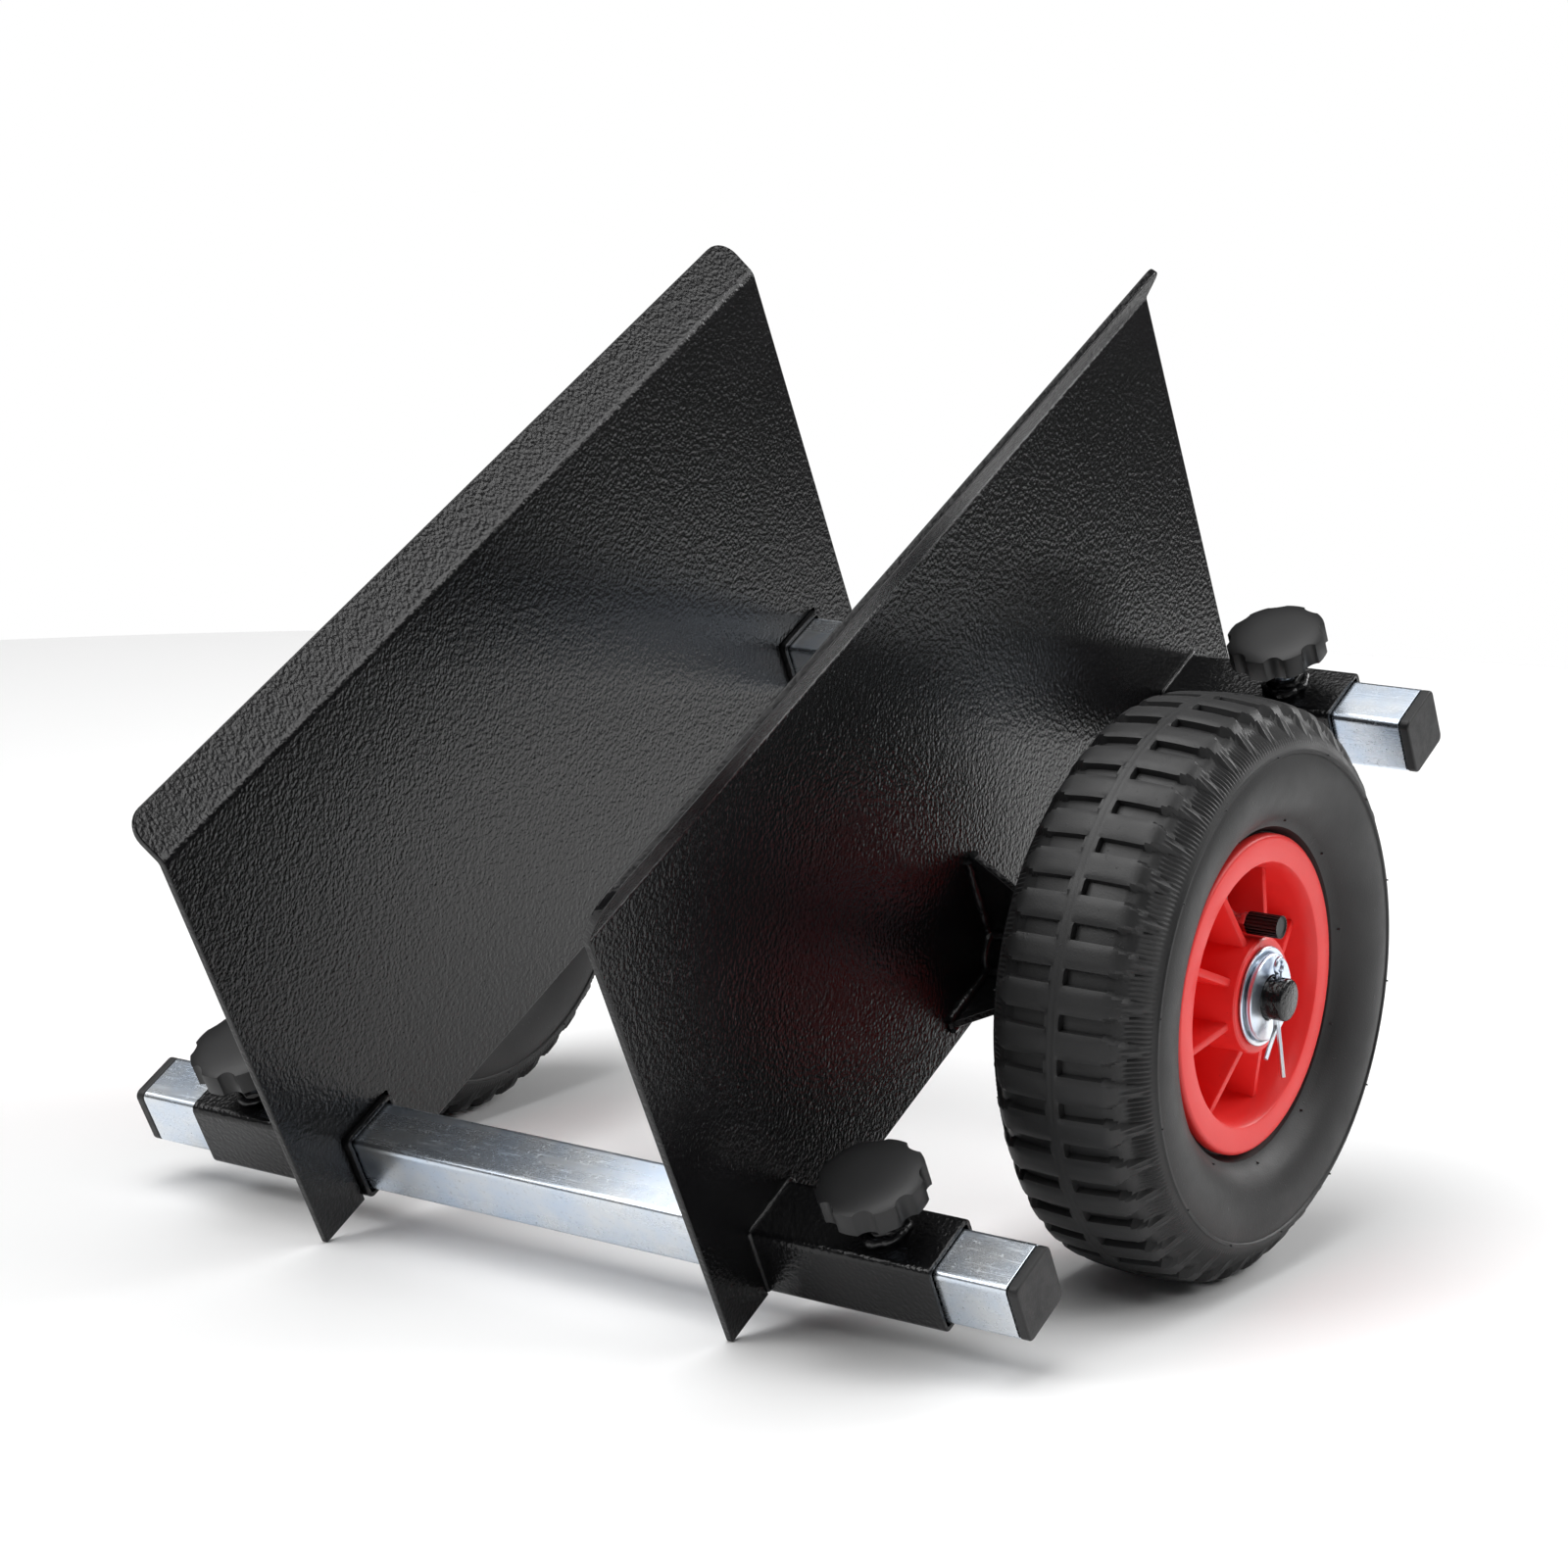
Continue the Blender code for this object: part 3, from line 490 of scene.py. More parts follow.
class Paint:
    """One material under construction."""

    def __init__(self, name, **constants):
        self.material = bpy.data.materials.new(name)
        self.material.use_nodes = True
        self.tree = self.material.node_tree
        self.shader = self.tree.nodes["Principled BSDF"]
        for socket, value in constants.items():
            self.shader.inputs[socket.replace("_", " ")].default_value = value
        self.place = self.node("ShaderNodeTexCoord", {}, {}, "Object")

    def node(self, kind, settings, inputs, output=0):
        node = self.tree.nodes.new(kind)
        for name, value in settings.items():
            setattr(node, name, value)
        for key, value in inputs.items():
            if isinstance(value, Socket):
                self.tree.links.new(value.link, node.inputs[key])
            else:
                node.inputs[key].default_value = value
        return Socket(self, node.outputs[output])

    def stretched(self, scale):
        return self.node("ShaderNodeMapping", {}, {"Vector": self.place, "Scale": scale})

    def noise(self, scale, detail, roughness, place=None):
        inputs = {"Vector": place or self.place, "Scale": scale, "Detail": detail,
                  "Roughness": roughness}
        return self.node("ShaderNodeTexNoise", {}, inputs, "Fac")

    def ramp(self, value, start, end):
        """Nought up to the start, one from the end on."""
        ramp = self.node("ShaderNodeValToRGB", {}, {"Fac": value}, "Color")
        first, last = ramp.link.node.color_ramp.elements
        first.position, last.position = start, end
        return ramp

    def mix(self, share, first, second):
        inputs = {0: share, 6: first, 7: second}
        return self.node("ShaderNodeMix", {"data_type": "RGBA"}, inputs, 2)

    def feed(self, **links):
        for socket, value in links.items():
            self.tree.links.new(value.link, self.shader.inputs[socket.replace("_", " ")])

    def bump(self, height, distance, strength=1.0, under=None):
        inputs = {"Strength": strength, "Distance": distance, "Height": height}
        if under:
            inputs["Normal"] = under
        return self.node("ShaderNodeBump", {}, inputs)


def shade(colour, factor=1.0):
    return (*[part * factor for part in colour], 1.0)


def paint_powder_coat(colour):
    """Glossy coat with a fine orange peel and a little dust."""
    paint = Paint("Powder coat", Metallic=0.0, IOR=1.42)
    peel = paint.noise(900.0, 2.0, 0.5)
    pebbles = paint.node("ShaderNodeTexVoronoi", {"feature": "SMOOTH_F1"},
                         {"Vector": paint.place, "Scale": 560.0, "Smoothness": 0.8}, "Distance")
    grain = peel * 0.6 + pebbles * 0.6
    patches = paint.noise(26.0, 4.0, 0.6)
    dust = paint.ramp(paint.noise(950.0, 2.0, 0.7), 0.66, 0.74) * patches
    paint.feed(Base_Color=paint.mix(dust * 0.25, shade(colour), shade(colour, 4.0)),
               Roughness=0.17 + patches * 0.08 + dust * 0.1,
               Normal=paint.bump(grain, 0.00034, 0.85))


def paint_weld(colour):
    """Coated weld: lumpy, with a fine ripple."""
    paint = Paint("Weld", Metallic=0.0, IOR=1.5)
    ripple = paint.noise(520.0, 4.0, 0.6)
    lumps = paint.noise(170.0, 2.0, 0.5)
    paint.feed(Base_Color=paint.mix(lumps, shade(colour, 0.8), shade(colour, 2.2)),
               Roughness=0.10 + ripple * 0.22,
               Normal=paint.bump(ripple, 0.0005, 0.7, paint.bump(lumps, 0.0012, 0.5)))


def paint_zinc(name, colour, along, roughness, waves):
    """Bright zinc: drawn streaks, bluish clouds, small dull specks and faint scratches."""
    paint = Paint(name, Metallic=1.0)
    streaks = paint.noise(55.0, 5.0, 0.62, paint.stretched(along))
    clouds = paint.noise(38.0, 4.0, 0.6)
    specks = paint.ramp(paint.noise(620.0, 3.0, 0.65), 0.60, 0.70)
    drawn_out = paint.stretched(tuple(5 * part for part in along))
    scratches = paint.ramp(paint.noise(240.0, 2.0, 0.5, drawn_out), 0.60, 0.68)
    bluish = (colour[0] * 0.80, colour[1] * 0.90, colour[2] * 1.04, 1.0)
    tone = paint.mix(paint.ramp(clouds, 0.35, 0.68), shade(colour), bluish)
    tone = paint.mix(specks * 0.35, tone, shade(colour, 0.45))
    paint.feed(Base_Color=tone,
               Roughness=roughness + streaks * 0.10 + specks * 0.16 + scratches * 0.06,
               Normal=paint.bump(streaks, 0.00016, 0.25, paint.bump(clouds, waves, 0.12)))


def paint_knob_plastic(colour):
    """Satin moulded plastic, paler where hands have been."""
    paint = Paint("Knob plastic", Metallic=0.0, IOR=1.46)
    grain = paint.noise(1500.0, 3.0, 0.6)
    handling = paint.noise(60.0, 3.0, 0.6)
    paint.feed(Base_Color=paint.mix(handling * 0.5, shade(colour, 0.9), shade(colour, 1.9)),
               Roughness=0.34 + handling * 0.12 + grain * 0.06,
               Normal=paint.bump(grain, 0.00008, 0.5))


def paint_cap_plastic(colour):
    """Dull black caps, scuffed grey on their faces."""
    paint = Paint("Cap plastic", Metallic=0.0, IOR=1.46)
    grain = paint.noise(900.0, 4.0, 0.65)
    scuff = paint.ramp(paint.noise(180.0, 6.0, 0.7), 0.44, 0.66)
    paint.feed(Base_Color=paint.mix(scuff * 0.65, shade(colour, 1.1), shade(colour, 3.2)),
               Roughness=0.44 + scuff * 0.20,
               Normal=paint.bump(grain, 0.00016, 0.6))


def paint_tyre(colour):
    """Moulded rubber: matt with a soft bloom, fine grain and faint mould flow."""
    paint = Paint("Tyre rubber", Metallic=0.0, IOR=1.5)
    grain = paint.noise(1300.0, 3.0, 0.6)
    bloom = paint.ramp(paint.noise(34.0, 5.0, 0.6), 0.36, 0.72)
    crumbs = paint.ramp(paint.noise(480.0, 2.0, 0.6), 0.68, 0.75)
    paleness = bloom * 0.55 + crumbs * 0.15
    paint.feed(Base_Color=paint.mix(paleness, shade(colour, 0.95), shade(colour, 1.7)),
               Roughness=0.46 + bloom * 0.16,
               Normal=paint.bump(grain, 0.00012, 0.6, paint.bump(crumbs, 0.0002, 0.4)))


def paint_tube(colour):
    """Smooth butyl rubber, dusted with talc."""
    paint = Paint("Tube rubber", Metallic=0.0)
    talc = paint.noise(90.0, 5.0, 0.65)
    paint.feed(Base_Color=paint.mix(talc * 0.5, shade(colour), shade(colour, 6.0)),
               Roughness=0.5 + talc * 0.3, Normal=paint.bump(talc, 0.0003, 0.4))


def paint_rim(colour):
    """Moulded red plastic: even colour with faint flow marks and a fine satin grain."""
    paint = Paint("Rim plastic", Metallic=0.0, IOR=1.47)
    flow = paint.noise(45.0, 4.0, 0.55)
    grain = paint.noise(1100.0, 3.0, 0.6)
    grime = paint.ramp(paint.noise(420.0, 3.0, 0.7), 0.69, 0.76)
    tone = paint.mix(flow * 0.6, shade(colour, 1.06), shade(colour, 0.84))
    paint.feed(Base_Color=paint.mix(grime * 0.35, tone, shade(colour, 0.35)),
               Roughness=0.33 + flow * 0.12 + grime * 0.1,
               Normal=paint.bump(grain, 0.00008, 0.5, paint.bump(flow, 0.0008, 0.15)))


def paint_bearing(colour):
    """Polished steel with a thin haze."""
    paint = Paint("Bearing steel", Metallic=1.0)
    haze = paint.noise(260.0, 4.0, 0.6)
    paint.feed(Base_Color=paint.mix(haze, shade(colour), shade(colour, 0.62)),
               Roughness=0.20 + haze * 0.20, Normal=paint.bump(haze, 0.00012, 0.4))


# ---------------------------------------------------------------- pieces

class DOLLY_OT_paints(bpy.types.Operator):
    """Make the materials and give them to the CAD nodes"""
    bl_idname = "dolly.paints"
    bl_label = "Materials"

    def execute(self, context):
        colours = context.scene.dolly_paint
        paint_powder_coat(colours.coat)
        paint_weld(colours.coat)
        paint_zinc("Zinc rail", colours.zinc, (0.06, 1.0, 1.0), roughness=0.22, waves=0.0005)
        paint_zinc("Zinc hardware", colours.zinc, (1.0, 1.0, 1.0), roughness=0.24, waves=0.0002)
        paint_bearing(colours.zinc)
        paint_knob_plastic(colours.plastic)
        paint_cap_plastic(colours.plastic)
        paint_tyre(colours.rubber)
        paint_tube(colours.rubber)
        paint_rim(colours.red)
        shown = {slot: material for material, slot in reversed(list(SLOT_OF.items()))}
        for entry in frame["record"]["subparts"]:
            node = frame["nodes"][entry["node"]]
            for place in node.material_slots:
                place.material = bpy.data.materials[shown[entry["material_slot"]]]
        return {"FINISHED"}


class DOLLY_OT_plates(bpy.types.Operator):
    """Fold the two cheek plates from sheet, notch them for the sleeves and round their edges"""
    bl_idname = "dolly.plates"
    bl_label = "Cheek plates"

    NOTCH_PLAY = Vector((0.02, 0.0002, 0.0002))

    def execute(self, context):
        sizes = context.scene.dolly_plate
        low, high = level_box("right_cheek_plate")
        bpy.ops.object.select_all(action="DESELECT")
        bpy.ops.mesh.primitive_plane_add(size=1, rotation=(0, math.pi / 2, 0))
        sheet = named("sheet")
        bend_height = low.z + sizes.height
        sheet.scale = (1, high.y - low.y, sizes.height)
        sheet.location = (low.x, (low.y + high.y) / 2, low.z + sizes.height / 2)
        apply_place(sheet)
        pick(sheet, "EDGE", lambda edge: middle(edge).z > bend_height - NEAR)
        bpy.ops.mesh.spin(steps=10, angle=sizes.angle, axis=(0, -1, 0),
                          center=(low.x + sizes.bend, 0, bend_height))
        leave()
        top = max(vert.co.z for vert in sheet.data.vertices)
        pick(sheet, "EDGE", lambda edge: middle(edge).z > top - NEAR)
        rise = (sizes.flare * math.sin(sizes.angle), 0, sizes.flare * math.cos(sizes.angle))
        bpy.ops.mesh.extrude_region_move(TRANSFORM_OT_translate={"value": rise})
        leave()
        top = max(vert.co.z for vert in sheet.data.vertices)
        pick(sheet, "VERT", lambda vert: vert.co.z > top - NEAR)
        bevel_picked(sizes.corner, segments=8, affect="VERTICES")
        outward(sheet)
        facing = sum(face.normal.x * face.area for face in sheet.data.polygons)
        modify(sheet, "SOLIDIFY", thickness=sizes.thickness, offset=math.copysign(1, facing),
               use_even_offset=True)
        for end in ENDS:
            start, stop = level_box(f"{end}_right_sleeve")
            cut(sheet, add_box("notch", start - self.NOTCH_PLAY, stop + self.NOTCH_PLAY))
        soften(sheet, sizes.edge, segments=3, angle=50)
        smooth(sheet, 40, weighted=True)
        spread(sheet, TIP, "{side}_cheek_plate", "Powder coat")
        return {"FINISHED"}


def square_tube(name, low, high, corner, wall, edge):
    """Square tube along X: a box with rounded long edges, bored by bridging its end rings."""
    tube = add_box(name, low, high)
    pick(tube, "EDGE", lambda item: runs_along(item, 0))
    bevel_picked(corner, segments=6)
    pick(tube, "FACE", lambda face: abs(face.normal.x) > SQUARE_ON)
    inset_picked(wall)
    bpy.ops.mesh.bridge_edge_loops()
    leave()
    outward(tube)
    soften(tube, edge, segments=2, angle=50)
    smooth(tube, 40, weighted=True)
    return tube


def stud_place():
    """Middle and radius of the front right clamp stud."""
    low, high = level_box("front_right_knob_stud")
    return (low + high) / 2, (high.x - low.x) / 2


def drill(piece, spot, radius, start, end):
    """Upright round hole through a piece."""
    cut(piece, add_disc("drill", radius, start, end, corners=32, spot=(spot.x, spot.y, 0)))


class DOLLY_OT_sleeves(bpy.types.Operator):
    """Make the four square sleeves with the hole for the clamp stud in each top wall"""
    bl_idname = "dolly.sleeves"
    bl_label = "Sleeves"

    def execute(self, context):
        sizes = context.scene.dolly_rail
        low, high = level_box("front_right_sleeve")
        tube = square_tube("sleeve", low, high, sizes.sleeve_corner, sizes.sleeve_wall, edge=0.0005)
        stud, stud_radius = stud_place()
        drill(tube, stud, stud_radius + PLAY, high.z - 0.005, high.z + 0.005)
        smooth(tube, 40, weighted=True)
        spread(tube, TIP, "{end}_{side}_sleeve", "Powder coat")
        return {"FINISHED"}


class DOLLY_OT_rails(bpy.types.Operator):
    """Make the two plated rails"""
    bl_idname = "dolly.rails"
    bl_label = "Rails"

    def execute(self, context):
        sizes = context.scene.dolly_rail
        tube = square_tube("rail", *level_box("front_rail"), sizes.corner, sizes.wall, edge=0.0003)
        spread(tube, TIP, "{end}_rail", "Zinc rail")
        return {"FINISHED"}


class DOLLY_OT_end_caps(bpy.types.Operator):
    """Make the moulded caps in the rails' ends, with an inset face and a plug"""
    bl_idname = "dolly.end_caps"
    bl_label = "End caps"

    GAP = 0.0002  # between cap and rail end
    CORNER = 0.0029
    RIM = 0.0012  # flat edge round the cap's face
    PLUG_HALF = 0.0107

    def execute(self, context):
        low, high = level_box("front_right_end_cap")
        face = Vector((level_box("front_rail")[1].x + self.GAP, low.y, low.z))
        cap = add_box("cap", face, high)
        pick(cap, "EDGE", lambda item: runs_along(item, 0))
        bevel_picked(self.CORNER, segments=6)
        pick(cap, "FACE", lambda item: item.normal.x > SQUARE_ON)
        inset_picked(self.RIM)
        leave()
        pick(cap, "FACE", lambda item: item.normal.x < -SQUARE_ON)
        inset_picked((high.z - low.z) / 2 - self.PLUG_HALF)
        plug = (low.x - face.x, 0, 0)
        bpy.ops.mesh.extrude_region_move(TRANSFORM_OT_translate={"value": plug})
        leave()
        soften(cap, 0.0008, segments=3, angle=50)
        smooth(cap, 40, weighted=True)
        spread(cap, TIP, "{end}_{side}_end_cap", "Cap plastic")
        return {"FINISHED"}


class DOLLY_OT_weld_nuts(bpy.types.Operator):
    """Make the chamfered hexagon nuts and the rough weld round each"""
    bl_idname = "dolly.weld_nuts"
    bl_label = "Weld nuts"

    CHAMFER = 0.0012
    WELD_STEP = 15  # degrees
    WELD_SPREAD = 0.0022  # how unevenly the weld runs round the nut
    WELD_LUMPS = 0.0015  # how unevenly it climbs the nut

    def execute(self, context):
        low, high = level_box("front_right_weld_nut")
        centre = (low + high) / 2
        spot = (centre.x, centre.y, 0)
        radius = (high.x - low.x) / 2
        nut = add_disc("nut", radius, low.z, high.z, corners=6, spot=spot)
        cone = add_disc("cone", radius - NEAR, low.z - 0.001, high.z, spot=spot)
        pick(cone, "FACE", lambda face: face.normal.z > SQUARE_ON)
        bevel_picked(self.CHAMFER, segments=1)
        cut(nut, cone, "INTERSECT")
        drill(nut, centre, stud_place()[1] + PLAY, low.z - 0.01, high.z + 0.01)
        soften(nut, 0.0002, segments=1, angle=40)
        smooth(nut, 30)
        spread(nut, TIP, "{end}_{side}_weld_nut", "Powder coat")
        self.make_welds(context.scene.dolly_rail.weld * 1.05, centre, radius, low.z)
        return {"FINISHED"}

    def make_welds(self, thickness, centre, nut_radius, foot):
        """Rough ring of weld round each nut, different at each one."""
        radius = nut_radius + 0.0004
        floor = foot + 0.0004
        spots = [(end, side) for end in ENDS for side in SIDES]
        for number, (end, side) in enumerate(spots):
            chance = random.Random(40 + number)
            route = []
            for angle in range(0, 360, self.WELD_STEP):
                reach = radius + self.WELD_SPREAD * (chance.random() - 0.5)
                turn = math.radians(angle)
                route.append((centre.x + reach * math.cos(turn), centre.y + reach * math.sin(turn),
                              floor + self.WELD_LUMPS * chance.random()))
            weld = bead(f"{end}_{side}_nut_weld", route, thickness, seed=7 + number, closed=True,
                        wobble=1.0, sides=10)
            modify(weld, "SUBSURF", levels=1, render_levels=1)
            settle(weld, place_of(end, side) @ TIP)
            outward(weld)
            smooth(weld, 80)
            finish(weld, f"{side}_carriage", "Weld")


class DOLLY_OT_knobs(bpy.types.Operator):
    """Make the lobed clamp knobs and their threaded studs"""
    bl_idname = "dolly.knobs"
    bl_label = "Clamp knobs"

    CROWN = 0.002  # height of the domed top
    DOME = ((0.10, 0.45), (0.16, 0.30), (0.22, 0.18), (0.26, 0.07))  # insets, rises
    BOSS_HEIGHT = 0.003
    BOSS_RADIUS = 0.008
    GROOVE = 0.61  # thread depth in pitches
    THREAD = ((0.45, True), (0.58, True), (0.97, False))  # place in the pitch, on the crest

    def execute(self, context):
        sizes = context.scene.dolly_knob
        low, high = level_box("front_right_knob_head")
        stud, stud_radius = stud_place()
        spot = (stud.x, stud.y, 0)
        radius = (high.y - low.y) / 2 + 0.0008
        head = add_disc("head", radius, low.z + self.BOSS_HEIGHT, high.z - self.CROWN, corners=96,
                        spot=spot)
        pick(head, "FACE", lambda face: face.normal.z > SQUARE_ON)
        for share, lift in self.DOME:
            inset_picked(radius * share)
            bpy.ops.transform.translate(value=(0, 0, self.CROWN * lift))
        leave()
        for lobe in range(sizes.lobes):
            angle = 2 * math.pi * (lobe + 0.5) / sizes.lobes
            reach = radius + sizes.flute - sizes.flute_depth
            place = (stud.x + reach * math.cos(angle), stud.y + reach * math.sin(angle), 0)
            cut(head, add_disc("flute", sizes.flute, low.z, high.z + 0.005, corners=40, spot=place))
        soften(head, sizes.edge, segments=3, angle=46)
        cut(head, add_disc("skirt", self.BOSS_RADIUS, low.z, low.z + self.BOSS_HEIGHT + 0.001,
                           spot=spot), "UNION")
        stud_top = level_box("front_right_knob_stud")[1].z
        drill(head, stud, stud_radius + 0.0002, low.z - 0.001, stud_top + 0.0003)
        smooth(head, 38)
        spread(head, TIP, "{end}_{side}_knob_head", "Knob plastic")
        self.make_stud(sizes.pitch)
        return {"FINISHED"}

    def make_stud(self, pitch):
        """Stud with a turned thread profile from its foot to its top."""
        low, high = level_box("front_right_knob_stud")
        centre, major = stud_place()
        minor = major - self.GROOVE * pitch
        profile = [(low.z, 0.0), (low.z, minor)]
        for turn in range(int((high.z - low.z) / pitch)):
            start = low.z + turn * pitch
            profile += [(start + share * pitch, major if crest else minor)
                        for share, crest in self.THREAD]
        profile += [(high.z, minor), (high.z, 0.0)]
        stud = turned("stud", profile, steps=28, closed=False)
        upright = Matrix.Rotation(-math.pi / 2, 4, "Y")
        settle(stud, Matrix.Translation((centre.x, centre.y, 0)) @ upright)
        smooth(stud, 25)
        spread(stud, TIP, "{end}_{side}_knob_stud", "Zinc hardware")


class DOLLY_OT_axle_webs(bpy.types.Operator):
    """Make the webs that brace each axle, with the welds that hold them"""
    bl_idname = "dolly.axle_webs"
    bl_label = "Axle webs"

    TOE = 0.003  # width left at a web's far end
    # for each web: the axes of its thickness and run, and the steps of its two fillets
    WEBS = {"upright": (1, 2, 16, 14), "front": (2, 1, 15, 12), "rear": (2, 1, 15, 12)}

    def execute(self, context):
        for which, (_, run, _, _) in self.WEBS.items():
            low, high = level_box(f"right_{which}_axle_web")
            web = add_box("web", low, high)
            taper = high.x - low.x - self.TOE
            way = -1 if which == "front" else 1
            corner, slope = Vector((low.x + self.TOE, 0, 0)), Vector((high[run] - low[run], 0, 0))
            corner[run] = low[run] if which == "front" else high[run]
            slope[run] = way * taper
            pick_all(web)
            bpy.ops.mesh.bisect(plane_co=corner, plane_no=slope, use_fill=True, clear_outer=True)
            leave()
            outward(web)
            soften(web, 0.0004, segments=2, angle=30)
            smooth(web, 50, weighted=True)
            spread(web, TIP, "{side}_" + which + "_axle_web", "Powder coat")
        self.make_welds(context.scene.dolly_rail.weld)
        return {"FINISHED"}

    def web_fillets(self, which, radius):
        """Routes along the plate and along the axle, on both sides of a web."""
        thick, run, plate_steps, axle_steps = self.WEBS[which]
        low, high = level_box(f"right_{which}_axle_web")
        near, far = low[run], high[run] - 0.001
        if which == "front":
            near, far = high[run], low[run] + 0.001
        sunk = 0.0002 if which == "upright" else 0.0
        for side in (low[thick] - 0.4 * radius, high[thick] + 0.4 * radius):
            def spot(x, along):
                return (x, side, along) if thick == 1 else (x, along, side)
            root, tip = low.x + 0.0002, high.x - 0.004
            yield along_line(spot(root, near), spot(root, far), plate_steps)
            yield along_line(spot(low.x, near - sunk), spot(tip, near - sunk), axle_steps)

    def make_welds(self, radius):
        """Fillets along each web, and a ring round the axle's root."""
        routes = [route for which in self.WEBS for route in self.web_fillets(which, radius)]
        low, high = level_box("right_axle")
        reach = high.z + 0.0004
        turns = [math.radians(step * 15) for step in range(24)]
        x = low.x + 0.0008
        circle = [(x, reach * math.cos(turn), reach * math.sin(turn)) for turn in turns]
        beads = [bead("bead", route, radius, seed=60 + number, wobble=0.45)
                 for number, route in enumerate(routes)]
        beads.append(bead("bead", circle, radius * 1.1, seed=90, closed=True, wobble=0.45))
        spread(join("axle_welds", beads), TIP, "{side}_axle_welds", "Weld", "{side}_carriage")


class DOLLY_OT_sleeve_welds(bpy.types.Operator):
    """Run a fillet of weld round each sleeve where it leaves the plate's outer face"""
    bl_idname = "dolly.sleeve_welds"
    bl_label = "Sleeve welds"

    def execute(self, context):
        radius = context.scene.dolly_rail.weld * 0.62
        low, high = level_box("front_right_sleeve")
        face = level_box("right_cheek_plate")[0].x + context.scene.dolly_plate.thickness
        x = face + radius * 0.15
        foot, inset = low.z + 0.002, 0.001
        route = along_line((x, low.y, foot), (x, low.y, high.z - inset), 10)
        route += along_line((x, low.y + inset, high.z), (x, high.y - inset, high.z), 10)
        route += along_line((x, high.y, high.z - inset), (x, high.y, foot), 10)
        weld = bead("sleeve_weld", route, radius, seed=21, wobble=0.4)
        spread(weld, TIP, "{end}_{side}_sleeve_weld", "Weld", "{side}_carriage")
        return {"FINISHED"}


